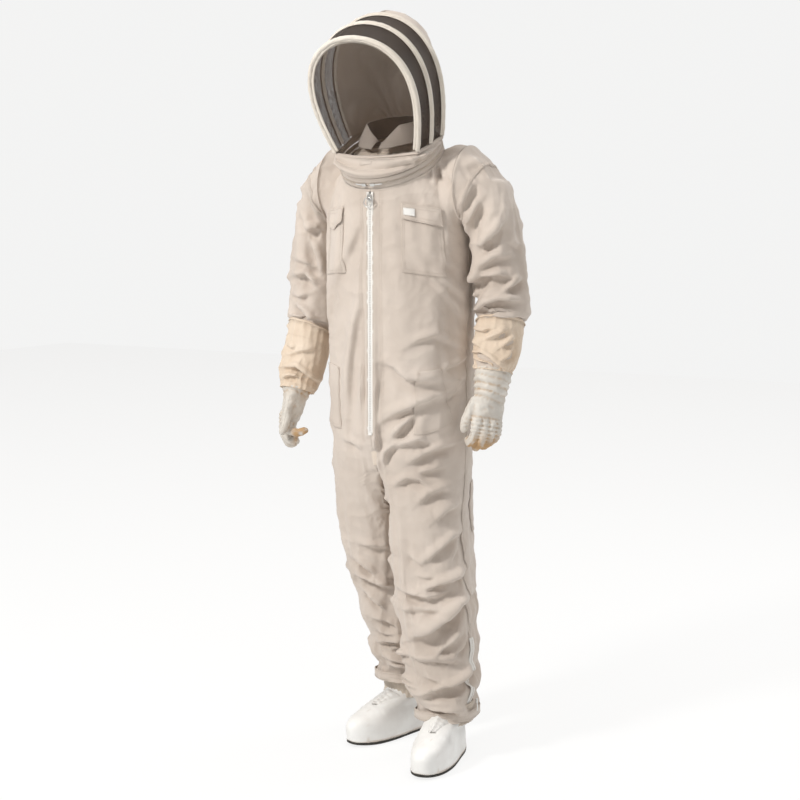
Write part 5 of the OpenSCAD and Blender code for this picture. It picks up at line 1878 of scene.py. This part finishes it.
def make_hoop(arch, name):
    """A sprung hoop in its gathered cotton sleeve, with the sleeve's sewn edges lying on the netting."""
    count, sides = 260, 22
    turns = np.radians(np.linspace(177, 3, count))
    line = arch_row(arch, turns)
    along = unit(np.gradient(line, axis=0))
    middle = line.mean(axis=0)
    face = unit(np.array([0, arch[1][0] - arch[0][0], arch[1][1] - arch[0][1]]))
    front = np.array([0, -face[2], face[1]])
    out = turned_away(unit(np.cross(along, front)), line, middle)
    front = unit(np.cross(out, along))
    if front[count // 2][1] > 0:
        front = -front
    rows, steps = [], np.arange(count)
    for k in range(sides):
        a = 2 * PI * k / sides
        ripple = 0.00035 * np.sin(steps * 0.9 + 2 * math.sin(a)) + 0.0003 * np.sin(steps * 0.37 + k)
        radius = 0.0052 * (1 + 0.12 * abs(math.cos(a)) ** 6) + ripple
        rows.append(line + out * (radius * math.cos(a))[:, None] + front * (radius * 1.1 * math.sin(a))[:, None])
    grid = np.swapaxes(np.array(rows), 0, 1)
    sheet_piece("hoop_sleeve_" + name, grid, "hood", ["hoop_" + name], "hoop", loop=True, thick=0)
    for sign in (-1, 1):
        edges = FRONT_EDGES[sign] if name == "front" else HOOP_EDGES
        if name == "front" and sign > 0:
            flange = [line - out * d + front * h for d, h in edges]
        else:
            flange = [line + sign * front * d + out * h for d, h in edges]
        edge = f"hoop_edge_{name}_{'a' if sign < 0 else 'b'}"
        sheet_piece(edge, np.array(flange), "hood", [], "hoop", thick=0.0006, facing=middle)


HOOD_EDGE_HALF = [np.array([0, -0.134, 1.508]), np.array([0.058, -0.130, 1.510])]


def make_bib():
    """The band under the veil. It stands up in front and lies flat behind the neck."""
    edge = HOOD_EDGE_HALF + [arch_row(arch, np.radians(2.0)) - [0, 0, 0.001] for arch in ARCHES]
    edge = along_line(np.array(edge + [np.array([0, 0.088, 1.592])]), 121)
    foot = NECK_ZIP + (NECK_BAND + 0.001) * NECK_NORMAL
    cols = []
    for p in edge:
        a = math.atan2(p[0], (foot[1] - p[1]) / math.cos(NECK_TILT))
        cols.append((a, p))
    rows = []
    for t in np.linspace(0, 1, 30):
        half = []
        for a, p in cols:
            ahead = max(math.cos(a), 0)
            flat = min(max(-1.6 * math.cos(a), 0), 1)
            bow = math.sin(PI * t) * np.array([0.005 * math.sin(a) * (1 - flat), -0.016 * ahead, 0])
            half.append(mix(neck_point(a, foot), p, t) + bow)
        half = np.array(half)
        rows.append(np.concatenate([half, flip(half[1:-1][::-1])]))
    grid = np.array(rows)
    count = grid.shape[1]
    n = turned_away(grid_normals(grid, loop=True), grid, HEAD)
    turn = np.arctan2(grid[..., 0], -(grid[..., 1] + 0.03))
    t = np.linspace(0, 1, 30)[:, None] * np.ones((1, count))
    ahead = np.clip(np.cos(turn) * 1.5, 0, 1)
    # Long soft folds that run round the band, and a bunch of gathers over the left breast.
    push = 0.0075 * np.sin(2 * PI * (1.6 * t + 0.35 * turn)) * ahead * np.sin(PI * t)
    bunch = np.exp(-((turn - 0.95) / 0.22) ** 2)
    push += 0.0055 * bunch * np.sin(30 * turn + 3 * t) * np.sin(PI * np.clip(1.2 * t, 0, 1))
    push += 0.0010 * np.sin(17 * turn + 2.5 * t) * np.sin(PI * t)
    crumple = 0.5 - 2 * np.abs(noise_at(grid.reshape(-1, 3), 0.035, 61)).reshape(t.shape)
    push += 0.0022 * crumple * np.sin(PI * t)
    grid = grid + n * push[..., None]
    sheet_piece("bib", grid, "hood", ["hood_bib"], loop=True, facing=HEAD, thick=0.0014)
    hem = grid[-1] + n[-1] * 0.0006
    strip("bib_hem", hem, n[-1], 0.009, 0.0014, "hood", loop=True)
    for row in (1, 4):
        stitch(closed(grid[row]), closed(n[row]), "hood", lift=0.0004)
    # A blank woven label on the band.
    tree = BVHTree.FromPolygons([tuple(p) for p in grid.reshape(-1, 3)], grid_faces(30, count, loop=True))
    label = []
    for z in np.linspace(1.4885, 1.5010, 5):
        row = []
        for x in np.linspace(-0.024, 0.012, 12):
            place = tree.ray_cast(Vector((x, -0.4, z + 0.12 * (x + 0.006))), Vector((0, 1, 0)))[0]
            row.append(np.array(place) - [0, 0.0008, 0])
        label.append(row)
    label = np.array(label)
    sewn_patch("bib_label_patch", label, "hood", ["bib_label"], HEAD, (0.0011,), "bltr", 0.0006, "band")


make_materials()
add_camera()
add_stage()
add_world()
add_lamps()
coverall = drape_coverall()
make_coverall(coverall)
sewn_on = ("front_left", "front_right", "back", "leg_front_left", "leg_back_left")
skin = Skin([coverall.fine[name] for name in sewn_on])
make_chest_pockets(skin)
make_lower_pockets(skin)
make_seams(coverall, skin)
make_front_zip()
make_ankles(coverall)
for arm_side in SIDES:
    make_arm(arm_side)
    make_boot(arm_side)
make_neck_zip()
make_neck_facing()
make_collar()
make_hood()
make_stitches()
